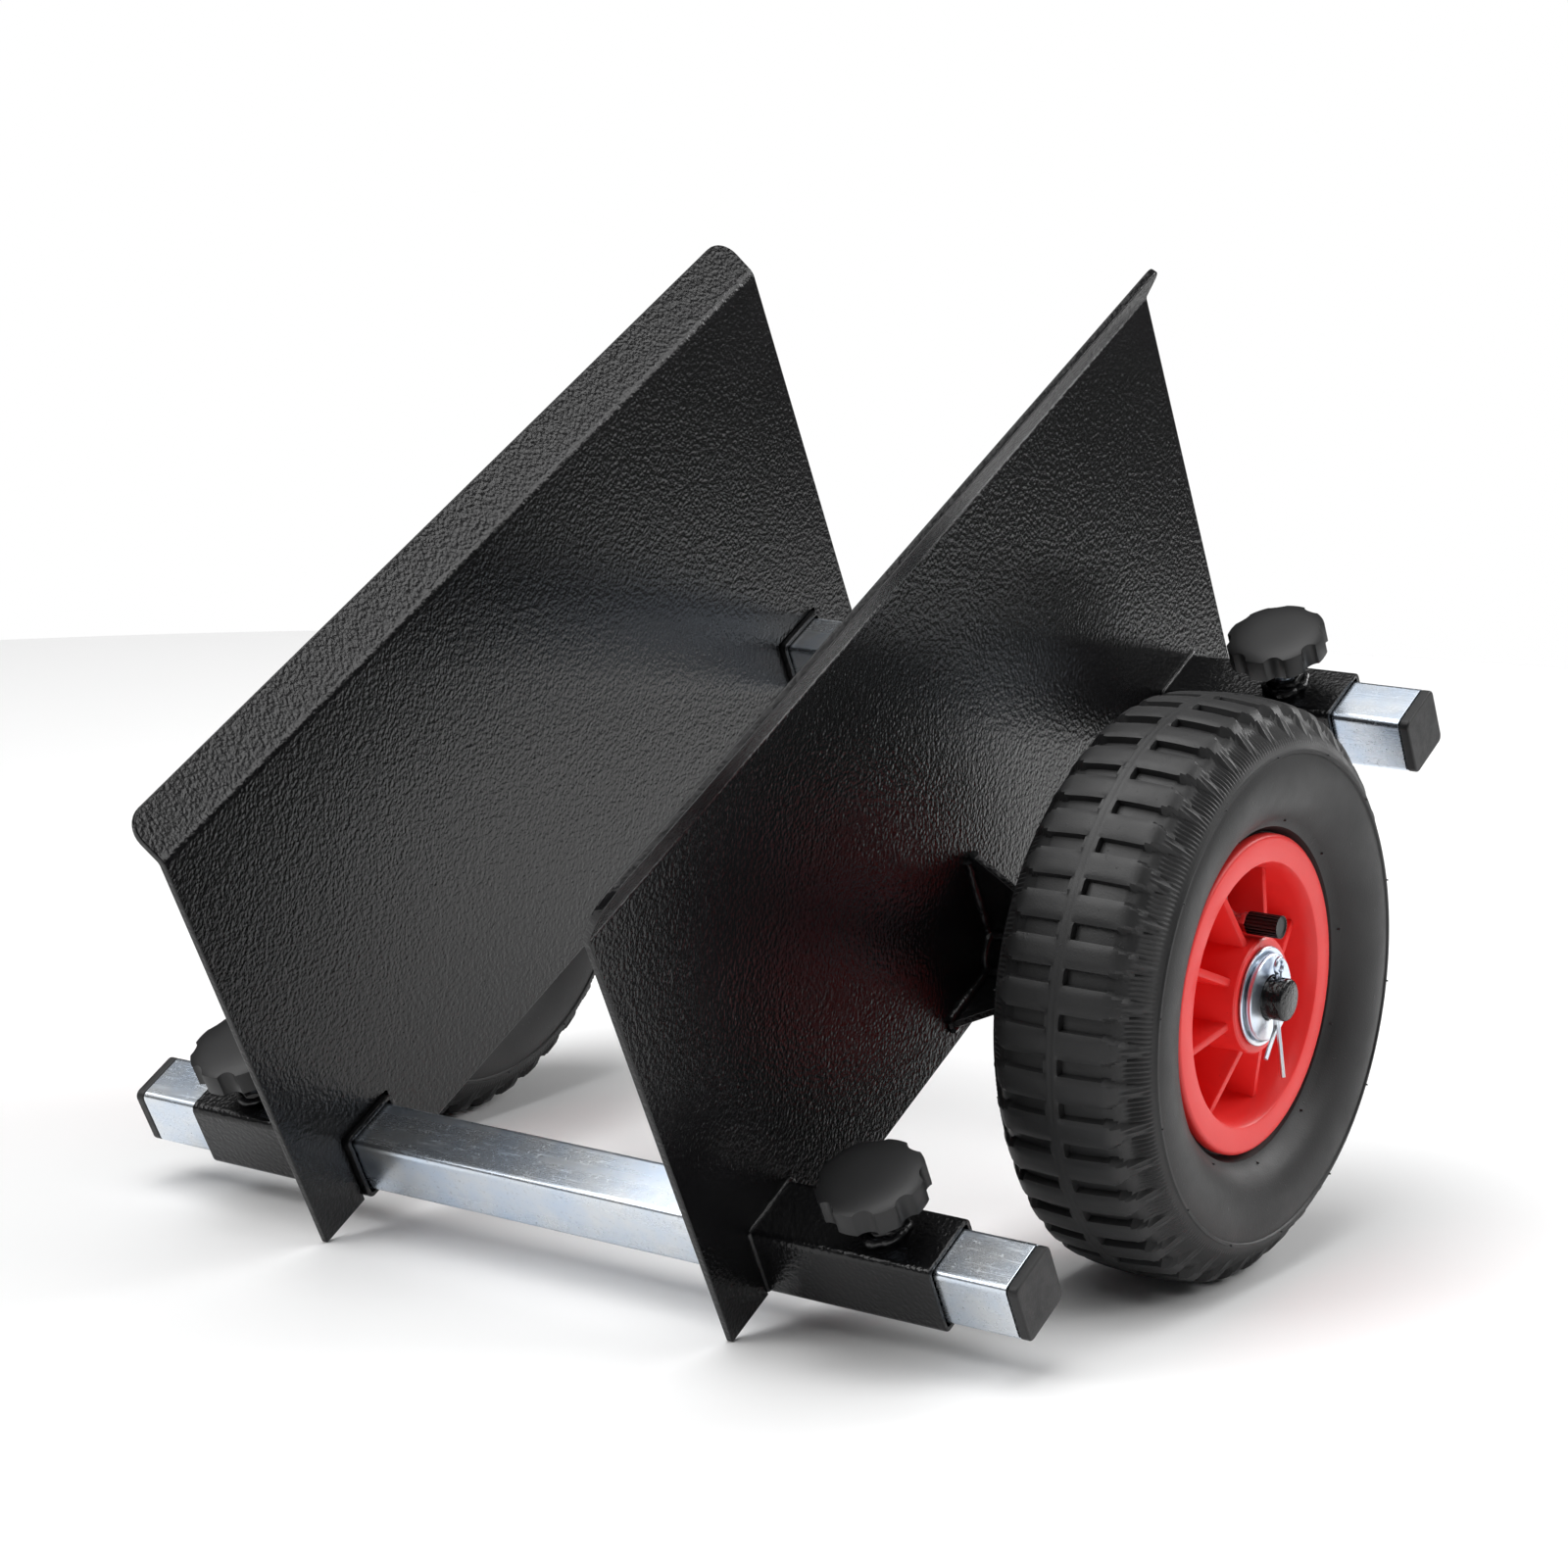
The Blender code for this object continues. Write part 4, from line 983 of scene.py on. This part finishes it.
class DOLLY_OT_axles(bpy.types.Operator):
    """Make the stub axles, washers, hub bearings and cotter pins"""
    bl_idname = "dolly.axles"
    bl_label = "Axles and hardware"

    SHAFT = 0.008  # radius where the wheel turns
    PIN_WIRE = 0.00085
    PIN_HALF = 0.0010  # half the distance between the pin's legs
    PIN_LOOP = 0.00275

    def execute(self, context):
        self.make_axle()
        for which in ("inner", "outer"):
            self.make_washer(which)
            self.make_race(which)
            self.make_bush(which)
        self.make_pin()
        return {"FINISHED"}

    def make_axle(self):
        low, high = wheel_box("right_axle")
        washer = wheel_box("right_inner_washer")[0].x - 0.0003
        shoulder, shaft, chamfer, ease = high.y, self.SHAFT, 0.0011, 0.0006
        profile = [(low.x, 0.0), (low.x, shoulder), (washer - ease, shoulder),
                   (washer, shoulder - ease), (washer, shaft), (high.x - chamfer, shaft),
                   (high.x - chamfer / 3, shaft - chamfer / 3), (high.x, shaft - chamfer),
                   (high.x, 0.0)]
        axle = turned("axle", profile, steps=56, closed=False)
        pin_x = wheel_box("right_cotter_pin")[0].x + self.PIN_WIRE
        cut(axle, add_disc("hole", 0.0023, -0.02, 0.02, corners=24, spot=(pin_x, 0, 0)))
        soften(axle, 0.0003, segments=2, angle=50)
        smooth(axle, 38)
        spread(axle, AT_WHEEL, "{side}_axle", "Powder coat")

    def make_washer(self, which):
        low, high = wheel_box(f"right_{which}_washer")
        outer, bore, edge = high.y, self.SHAFT + 0.0004, 0.0004
        profile = [(low.x, bore), (low.x, outer - edge), (low.x + edge, outer),
                   (high.x - edge, outer), (high.x, outer - edge), (high.x, bore + edge),
                   (high.x - edge, bore)]
        washer = turned("washer", profile, steps=64)
        smooth(washer, 30)
        spread(washer, AT_WHEEL, "{side}_" + which + "_washer", "Zinc hardware")

    def make_race(self, which):
        """Dished flanged race with a rolled rim."""
        low, high = wheel_box(f"right_{which}_bearing_race")
        way = 1 if which == "outer" else -1
        back, face = (low.x, high.x) if way > 0 else (high.x, low.x)
        flange, barrel, bore, edge = high.y, 0.0175, 0.0125, 0.0006
        roll = [(face + way * (along - edge), radius)
                for along, radius in arc((0, flange - edge), edge, 0, 180, 6)]
        profile = [(back, bore), (face - way * 0.0021, bore), (face - way * 0.0019, bore + 0.0016),
                   (face - way * 0.0003, flange - 0.0020), *roll, (face - way * 0.0012, barrel),
                   (back, barrel)]
        race = turned("race", profile, steps=64)
        smooth(race, 30)
        spread(race, AT_WHEEL, "{side}_" + which + "_bearing_race", "Zinc hardware")

    def make_bush(self, which):
        low, high = wheel_box(f"right_{which}_bearing_bush")
        bore, outer, edge = self.SHAFT + 0.0003, high.y, 0.0004
        profile = [(low.x + edge, bore), (low.x, bore + edge), (low.x, outer), (high.x, outer),
                   (high.x, bore + edge), (high.x - edge, bore)]
        bush = turned("bush", profile, steps=48)
        smooth(bush, 30)
        spread(bush, AT_WHEEL, "{side}_" + which + "_bearing_bush", "Bearing steel")

    def make_pin(self):
        """Cotter pin: an eye on top, the two legs side by side through the axle, then spread."""
        low, high = wheel_box("right_cotter_pin")
        wire, half, loop = self.PIN_WIRE, self.PIN_HALF, self.PIN_LOOP
        below, above, bend = -0.0094, 0.004, 0.004  # where the legs leave the axle, and the eye
        x = low.x + wire
        neck = math.degrees(math.acos(half / loop))
        eye = arc((0, high.z - loop - wire), loop, -neck, 180 + neck, 24)
        long_leg = [(1.5 * half, low.z + 0.0002), (1.35 * half, -0.020), (1.1 * half, -0.0135),
                    (half, below)]
        elbow = arc((-half - bend, below), bend, 0, -44, 5)
        across, up = elbow[-1]
        tip = low.y + 0.0006
        reach = across - tip
        short_leg = elbow + [(across - reach * 0.5, up - reach * 0.48), (tip, up - reach * 0.97)]
        lean = (high.x - wire - x) / (below - low.z)
        outline = long_leg + [(half, above)] + eye + [(-half, above)] + short_leg
        route = [(x + lean * max(below - height, 0), side, height) for side, height in outline]
        pin = bead("pin", route, wire, sides=12)
        soften(pin, 0.0002, segments=2, angle=60)
        smooth(pin, 50)
        spread(pin, AT_WHEEL, "{side}_cotter_pin", "Zinc hardware")


class DOLLY_OT_rims(bpy.types.Operator):
    """Mould the ribbed rims, with the valve hole in the barrel"""
    bl_idname = "dolly.rims"
    bl_label = "Rims"

    FACE = 0.0245  # half width over the flanges
    HUB = 0.0218
    SEAT = 0.0178  # radius that holds the bearings
    CORE = 0.012
    STEP = 0.0149  # half length of the core
    # disc and barrel between hub and flange, as (along, radius)
    BARREL = ((0.0025, 0.0420), (0.0035, 0.0446), (0.0060, 0.0460), (FACE - 0.0060, 0.0478),
              (FACE - 0.0012, 0.0492), (FACE - 0.0003, 0.0499), (FACE, 0.0508))
    RIB_REACH = (0.0236, 0.0160)  # half widths at the hub and at the barrel
    RIB_TOP = 0.0472

    def execute(self, context):
        sizes = context.scene.dolly_wheel
        low, high = wheel_box("right_rim")
        rim = turned("rim", self.outline(high.x, high.z), steps=96)
        for number in range(sizes.ribs):
            turn = Matrix.Rotation(2 * math.pi * (number + 0.5) / sizes.ribs, 4, "X")
            cut(rim, settle(self.make_rib(sizes.rib / 2), turn), "UNION")
        valve_x = wheel_box("right_valve_stem")[0].x + 0.003
        cut(rim, add_disc("valve_hole", 0.0040, 0.040, 0.056, corners=32, spot=(valve_x, 0, 0)))
        smooth(rim, 32)
        spread(rim, AT_WHEEL, "{side}_rim", "Rim plastic")
        return {"FINISHED"}

    def outline(self, hub_end, flange):
        """Closed outline as (along, radius) points, the same on both sides of the disc."""
        face, hub, seat = self.FACE, self.HUB, self.SEAT
        ease, lip, back = 0.0004, 0.0018, 0.0012
        half = [(self.STEP, self.CORE), (self.STEP, seat), (hub_end - ease, seat),
                (hub_end, seat + ease), (hub_end, hub - 0.0006), (hub_end - 0.0006, hub),
                (0.0050, hub + 0.0006), (0.0030, hub + 0.0026), (0.0025, hub + 0.0045),
                *self.BARREL, *arc((face - lip, flange - lip), lip, 0, 90, 5),
                *arc((face - 0.0037, flange - back), back, 90, 180, 4),
                (face - 0.0049, 0.0530), (face - 0.0052, 0.0508)]
        return half + [(-along, radius) for along, radius in reversed(half)]

    def make_rib(self, half):
        """Radial rib on both sides of the disc, lower at the barrel and softened at its edges."""
        wide, narrow = self.RIB_REACH
        rib = add_box("rib", (-wide, -half, self.HUB - 0.0012), (wide, half, self.RIB_TOP))
        pick(rib, "EDGE", lambda edge: runs_along(edge, 1) and middle(edge).z > 0.04)
        bpy.ops.transform.resize(value=(narrow / wide, 1, 1), center_override=(0, 0, 0))
        leave()
        pick(rib, "EDGE", lambda edge: abs(middle(edge).x) > 0.012
             and abs(middle(edge).y) > half * 0.9)
        bevel_picked(0.0007, segments=2)
        return rib


class DOLLY_OT_valves(bpy.types.Operator):
    """Make the bent valve stems and their ribbed caps"""
    bl_idname = "dolly.valves"
    bl_label = "Valves"

    GROOVE = 0.00055
    BEND = 0.008
    COLLAR = (0.0030, 0.0006)  # from the cap's start back to the collar's ends

    def execute(self, context):
        low, high = wheel_box("right_valve_cap")
        orbit = (low.z + high.z) / 2
        teeth = context.scene.dolly_wheel.cap_ribs
        cap = add_disc("cap", (high.z - low.z) / 2, low.x, high.x, "X", teeth * 4, (0, 0, orbit))
        pick(cap, "FACE", lambda face: face.normal.x > SQUARE_ON)
        inset_picked(0.0007)
        bpy.ops.transform.translate(value=(-0.0005, 0, 0))
        leave()
        pick(cap, "FACE", lambda face: self.on_groove(face, orbit, teeth))
        inset_picked(0.00006, depth=-self.GROOVE)
        leave()
        smooth(cap, 30)
        spread(cap, AT_WHEEL, "{side}_valve_cap", "Knob plastic")
        self.make_stem(low.x, orbit)
        return {"FINISHED"}

    @staticmethod
    def on_groove(face, orbit, teeth):
        spot = middle(face)
        turn = math.atan2(spot.z - orbit, spot.y) / (2 * math.pi) * teeth
        return abs(face.normal.x) < 0.5 and turn % 1.0 < 0.5

    def make_stem(self, cap_start, orbit):
        low, high = wheel_box("right_valve_stem")
        radius = high.y
        foot_x = low.x + radius
        corner = arc((foot_x + self.BEND, orbit + self.BEND), self.BEND, 180, 270, 10)
        route = [(foot_x, 0, high.z), *((x, 0, z) for x, z in corner),
                 (cap_start - 0.0002, 0, orbit)]
        stem = bead("stem", route, radius, sides=16)
        start, end = (cap_start - back for back in self.COLLAR)
        cut(stem, add_disc("collar", radius + 0.0012, start, end, "X", 6, (0, 0, orbit)), "UNION")
        soften(stem, 0.0002, segments=2, angle=50)
        smooth(stem, 35)
        spread(stem, AT_WHEEL, "{side}_valve_stem", "Bearing steel")


class DOLLY_OT_tyres(bpy.types.Operator):
    """Mould the tyres: one tread pitch is shaped, then repeated round the wheel"""
    bl_idname = "dolly.tyres"
    bl_label = "Tyres"

    CROWN = 0.110
    COLUMNS = 16
    POCKET_HALF = 0.0027
    POCKET_INNER = 0.0028
    POCKET_OUTER = 0.0196
    POCKET_DRAFT = 0.00045  # how much narrower a pocket's floor is on each side
    GROOVE_END = 0.0318
    GROOVE_FOOT = 0.0940  # radius that the shoulder grooves run down to
    WIDENING = 0.0052  # growth of a groove's half width towards its end
    GROOVE_EDGE = 0.0008  # width over which a groove's wall falls
    LUG_FADE = 0.0036
    LUG_SINK = 0.0008  # how far a lug's edge beside a pocket is eased
    TOOTH = 0.0007  # height of the fine teeth down the shoulder
    TOOTH_TOP = 0.1046
    # outer half outline from the bead to the tread's middle, as (across, radius)
    OUTER = ((0.0192, 0.0511), (0.0192, 0.0580), (0.0194, 0.0606), (0.0212, 0.0622),
             (0.0235, 0.0630), (0.0243, 0.0646), (0.0262, 0.0664), (0.0290, 0.0694),
             (0.0312, 0.0732), (0.0328, 0.0778), (0.0337, 0.0828), (0.0338, 0.0872),
             (0.0334, 0.0902), (0.0331, 0.0912), (0.0337, 0.0917), (0.0336, 0.0927),
             (0.0328, 0.0931), (0.0322, 0.0945), (0.0314, 0.0962), (0.0304, 0.0981),
             (0.0291, 0.1000), (0.0276, 0.1018), (0.0260, 0.1036), (0.0245, 0.1053),
             (0.0231, 0.1068), (0.0216, 0.1078), (0.0196, 0.1084), (0.0180, 0.1088),
             (0.0120, 0.1095), (0.0060, 0.1099), (0.0028, 0.1100), (0.0019, 0.10995),
             (0.0015, 0.1107), (0.0009, 0.1107), (0.0005, 0.10995), (0.0001, 0.10995))
    INNER = ((0.0, 0.1030), (0.012, 0.1018), (0.0215, 0.0960), (0.0262, 0.0865),
             (0.0262, 0.0745), (0.0185, 0.0640), (0.0135, 0.0590), (0.0135, 0.0511))
    WIDEST = 0.0338  # widest across in the outer outline
    NUB_RADIUS = 0.00055
    # moulding whiskers: radius, across, how many, first angle in degrees
    NUBS = ((0.0925, 0.0332, 14, 6), (0.0655, 0.0250, 11, 20))

    def execute(self, context):
        sizes = context.scene.dolly_wheel
        pitch = 2 * math.pi / sizes.lugs
        piece = self.make_pitch(pitch, sizes.pocket)
        pivot = bpy.data.objects.new("pivot", None)
        bpy.context.scene.collection.objects.link(pivot)
        pivot.rotation_euler = (pitch, 0, 0)
        bpy.context.view_layer.update()
        modify(piece, "ARRAY", fit_type="FIXED_COUNT", count=sizes.lugs, use_relative_offset=False,
               use_object_offset=True, offset_object=pivot, use_merge_vertices=True,
               use_merge_vertices_cap=True, merge_threshold=0.00002)
        bpy.data.objects.remove(pivot)
        outward(piece)
        tyre = join("tyre", [piece] + self.make_nubs())
        smooth(tyre, 24)
        spread(tyre, AT_WHEEL, "{side}_tyre", "Tyre rubber")
        return {"FINISHED"}

    def outline(self):
        """Closed outline of the casing, from bead to bead outside and back inside."""
        low, high = wheel_box("right_tyre")
        grow = high.x * 0.994 / self.WIDEST
        outer = [(across * grow, min(reach, high.z)) for across, reach in self.OUTER]
        inner = list(self.INNER)
        left_outer, left_inner = ([(-across, reach) for across, reach in half]
                                  for half in (outer, inner[1:]))
        return left_outer + outer[::-1] + inner[:0:-1] + inner[:1] + left_inner

    def make_pitch(self, pitch, pocket):
        """One pitch of casing: spun from its outline, with a pocket each side of the middle."""
        piece = settle(trace("pitch", self.outline()), Matrix.Rotation(-pitch / 2, 4, "X"))
        pick_all(piece)
        bpy.ops.mesh.spin(steps=self.COLUMNS, angle=-pitch, center=(0, 0, 0), axis=(1, 0, 0))
        leave()
        outward(piece)
        facing = 0.0
        for face in piece.data.polygons:
            out = Vector((0, face.center.y, face.center.z))
            if out.length > self.CROWN - 0.002:
                facing += face.normal.dot(out)
        if facing < 0:
            flip(piece)
        for side in (1, -1):
            pick(piece, "FACE", lambda face: self.in_pocket(face, side))
            inset_picked(self.POCKET_DRAFT, depth=-pocket)
            leave()
        self.sink(piece, pitch, pocket)
        return piece

    def in_pocket(self, face, side):
        spot = middle(face)
        inside = self.POCKET_INNER < side * spot.x < self.POCKET_OUTER
        return (inside and spot.z > 0.104 and abs(spot.y) < self.POCKET_HALF
                and face.normal.z > 0.5)

    def depth(self, spot, reach, pitch, pocket):
        """How far a corner of the plain casing sinks towards the axle."""
        across = abs(spot.x)
        beside = abs(math.atan2(spot.y, spot.z)) * self.CROWN
        if reach < self.GROOVE_FOOT or across < self.POCKET_INNER * 0.9:
            return 0.0
        travel = (across - self.POCKET_OUTER + 0.0004) / (self.GROOVE_END - self.POCKET_OUTER)
        if travel < 0:
            soft = max(0.0, 1 - (beside - self.POCKET_HALF) / self.LUG_FADE)
            return self.LUG_SINK * min(soft, 1.0) ** 2 if beside > self.POCKET_HALF * 0.9 else 0.0
        travel = min(travel, 1.0)
        half = self.POCKET_HALF * 0.95 + self.WIDENING * travel
        inside = min(max((half - beside) / self.GROOVE_EDGE + 0.5, 0.0), 1.0)
        groove = (pocket + 0.0003) * (1 - travel ** 1.8) * inside
        column = round(beside / (pitch * self.CROWN / self.COLUMNS))
        toothed = column % 2 and travel > 0.2 and reach < self.TOOTH_TOP
        return groove + (self.TOOTH if toothed else 0.0)

    def sink(self, piece, pitch, pocket):
        """Sink the shoulder's corners into widening grooves, and ease the lugs' edges."""
        floor = self.CROWN - pocket * 0.6
        steps = {}
        for vert in piece.data.vertices:
            reach = math.hypot(vert.co.y, vert.co.z)
            in_floor = abs(vert.co.x) < self.POCKET_OUTER and reach < floor
            depth = 0.0 if in_floor else self.depth(vert.co, reach, pitch, pocket)
            if depth > 0.00002:
                steps.setdefault(round(depth / reach, 3), set()).add(vert.index)
        for share, indices in steps.items():
            pick(piece, "VERT", lambda vert: vert.index in indices)
            bpy.ops.transform.resize(value=(1, 1 - share, 1 - share), center_override=(0, 0, 0))
            leave()

    def make_nubs(self):
        """Short moulding whiskers on the outer and inner sidewalls."""
        nubs = []
        for reach, across, count, start in self.NUBS:
            for mirror in (Matrix(), MIRROR):
                for number in range(count):
                    nub = add_disc("nub", self.NUB_RADIUS, across - 0.0015, across + 0.0011, "X", 8)
                    pick(nub, "FACE", lambda face: face.normal.x > SQUARE_ON)
                    bpy.ops.transform.resize(value=(1, 0.5, 0.5))
                    leave()
                    turn = Matrix.Rotation(math.radians(start + 360 * number / count), 4, "X")
                    settle(nub, mirror @ turn @ Matrix.Translation((0, 0, reach)))
                    outward(nub)
                    nubs.append(nub)
        return nubs


class DOLLY_OT_stage(bpy.types.Operator):
    """Lay the floor, hang the soft lights and set the camera"""
    bl_idname = "dolly.stage"
    bl_label = "Stage"

    AIM = Vector((0.0155, 0.0023, 0.0671))  # in the level frame
    LIT = Vector((0, 0, 0.15))  # where the lights point
    # name, place, width, watts
    LIGHTS = (("top", (-0.1, 0.1, 1.7), 1.5, 11.0), ("key", (-0.9, -1.7, 1.5), 1.0, 12.0),
              ("side", (1.7, 0.9, 1.4), 1.1, 16.0), ("back", (0.7, 1.6, 1.0), 0.7, 13.0))
    SKY_FILL = 0.10  # strength of the sky as a light; it is seen at full strength
    SUN = 2.0

    def execute(self, context):
        sizes = context.scene.dolly_stage
        self.make_floor(sizes)
        self.make_camera(context.scene, sizes)
        self.make_sky(context.scene)
        self.make_lights()
        return {"FINISHED"}

    def make_floor(self, sizes):
        floor = add_disc("floor", sizes.reach, -0.02, 0.0, corners=128)
        paint = Paint("Floor", Metallic=0.0)
        mottle = paint.noise(3.0, 4.0, 0.5)
        paint.feed(Base_Color=paint.mix(mottle * 0.3, shade(sizes.floor), shade(sizes.floor, 0.97)),
                   Roughness=0.55 + mottle * 0.1)
        floor.data.materials.append(paint.material)

    def make_camera(self, scene, sizes):
        camera = bpy.data.cameras.new("camera")
        camera.lens = sizes.lens
        camera.clip_end = 50.0
        eye = bpy.data.objects.new("camera", camera)
        scene.collection.objects.link(eye)
        level = math.cos(sizes.elevation)
        back = Vector((math.sin(sizes.azimuth) * level, -math.cos(sizes.azimuth) * level,
                       math.sin(sizes.elevation)))
        turn = back.to_track_quat("Z", "Y").to_matrix().to_4x4()
        spot = Matrix.Translation(TIP @ self.AIM + back * sizes.distance)
        eye.matrix_world = spot @ turn @ Matrix.Rotation(sizes.roll, 4, "Z")
        scene.camera = eye

    def make_sky(self, scene):
        world = bpy.data.worlds.new("studio")
        world.use_nodes = True
        sky = world.node_tree.nodes["Background"]
        sky.inputs["Color"].default_value = (1.0, 1.0, 1.0, 1.0)
        seen = world.node_tree.nodes.new("ShaderNodeLightPath").outputs["Is Camera Ray"]
        level = world.node_tree.nodes.new("ShaderNodeMapRange")
        level.inputs["To Min"].default_value = self.SKY_FILL
        level.inputs["To Max"].default_value = 1.0
        world.node_tree.links.new(seen, level.inputs["Value"])
        world.node_tree.links.new(level.outputs["Result"], sky.inputs["Strength"])
        scene.world = world
        scene.view_settings.view_transform = "Standard"

    def make_lights(self):
        for name, spot, size, power in self.LIGHTS:
            lamp = self.hang(name, "AREA", power)
            lamp.data.shape = "SQUARE"
            lamp.data.size = size
            lamp.location = spot
            lamp.rotation_euler = (Vector(spot) - self.LIT).to_track_quat("Z", "Y").to_euler()
        lamp = self.hang("sun", "SUN", self.SUN)
        lamp.data.angle = math.radians(60)
        lamp.rotation_euler = (math.radians(18), math.radians(-14), 0)

    @staticmethod
    def hang(name, kind, energy):
        light = bpy.data.lights.new(name, kind)
        light.energy = energy
        lamp = bpy.data.objects.new(name, light)
        bpy.context.scene.collection.objects.link(lamp)
        return lamp


class DOLLY_PT_panel(bpy.types.Panel):
    """Buttons that build the dolly's finish piece by piece"""
    bl_label = "Panel dolly"
    bl_idname = "DOLLY_PT_panel"
    bl_space_type = "VIEW_3D"
    bl_region_type = "UI"
    bl_category = "Dolly"

    def draw(self, context):
        for operator in PIECES:
            self.layout.operator(operator.bl_idname)


SETTINGS = {
    "dolly_plate": DollyPlateSettings,
    "dolly_rail": DollyRailSettings,
    "dolly_knob": DollyKnobSettings,
    "dolly_wheel": DollyWheelSettings,
    "dolly_paint": DollyPaintSettings,
    "dolly_stage": DollyStageSettings,
}
PIECES = (DOLLY_OT_stage, DOLLY_OT_paints, DOLLY_OT_plates, DOLLY_OT_sleeves, DOLLY_OT_rails,
          DOLLY_OT_end_caps, DOLLY_OT_weld_nuts, DOLLY_OT_knobs, DOLLY_OT_axle_webs,
          DOLLY_OT_sleeve_welds, DOLLY_OT_axles, DOLLY_OT_rims, DOLLY_OT_valves, DOLLY_OT_tyres)


def register():
    for item in (*SETTINGS.values(), *PIECES, DOLLY_PT_panel):
        bpy.utils.register_class(item)
    for name, group in SETTINGS.items():
        setattr(bpy.types.Scene, name, PointerProperty(type=group))


def unregister():
    for name in SETTINGS:
        delattr(bpy.types.Scene, name)
    for item in reversed((*SETTINGS.values(), *PIECES, DOLLY_PT_panel)):
        bpy.utils.unregister_class(item)


def main():
    register()
    for item in PIECES:
        group, name = item.bl_idname.split(".")
        getattr(getattr(bpy.ops, group), name)()


if __name__ == "__main__":
    main()
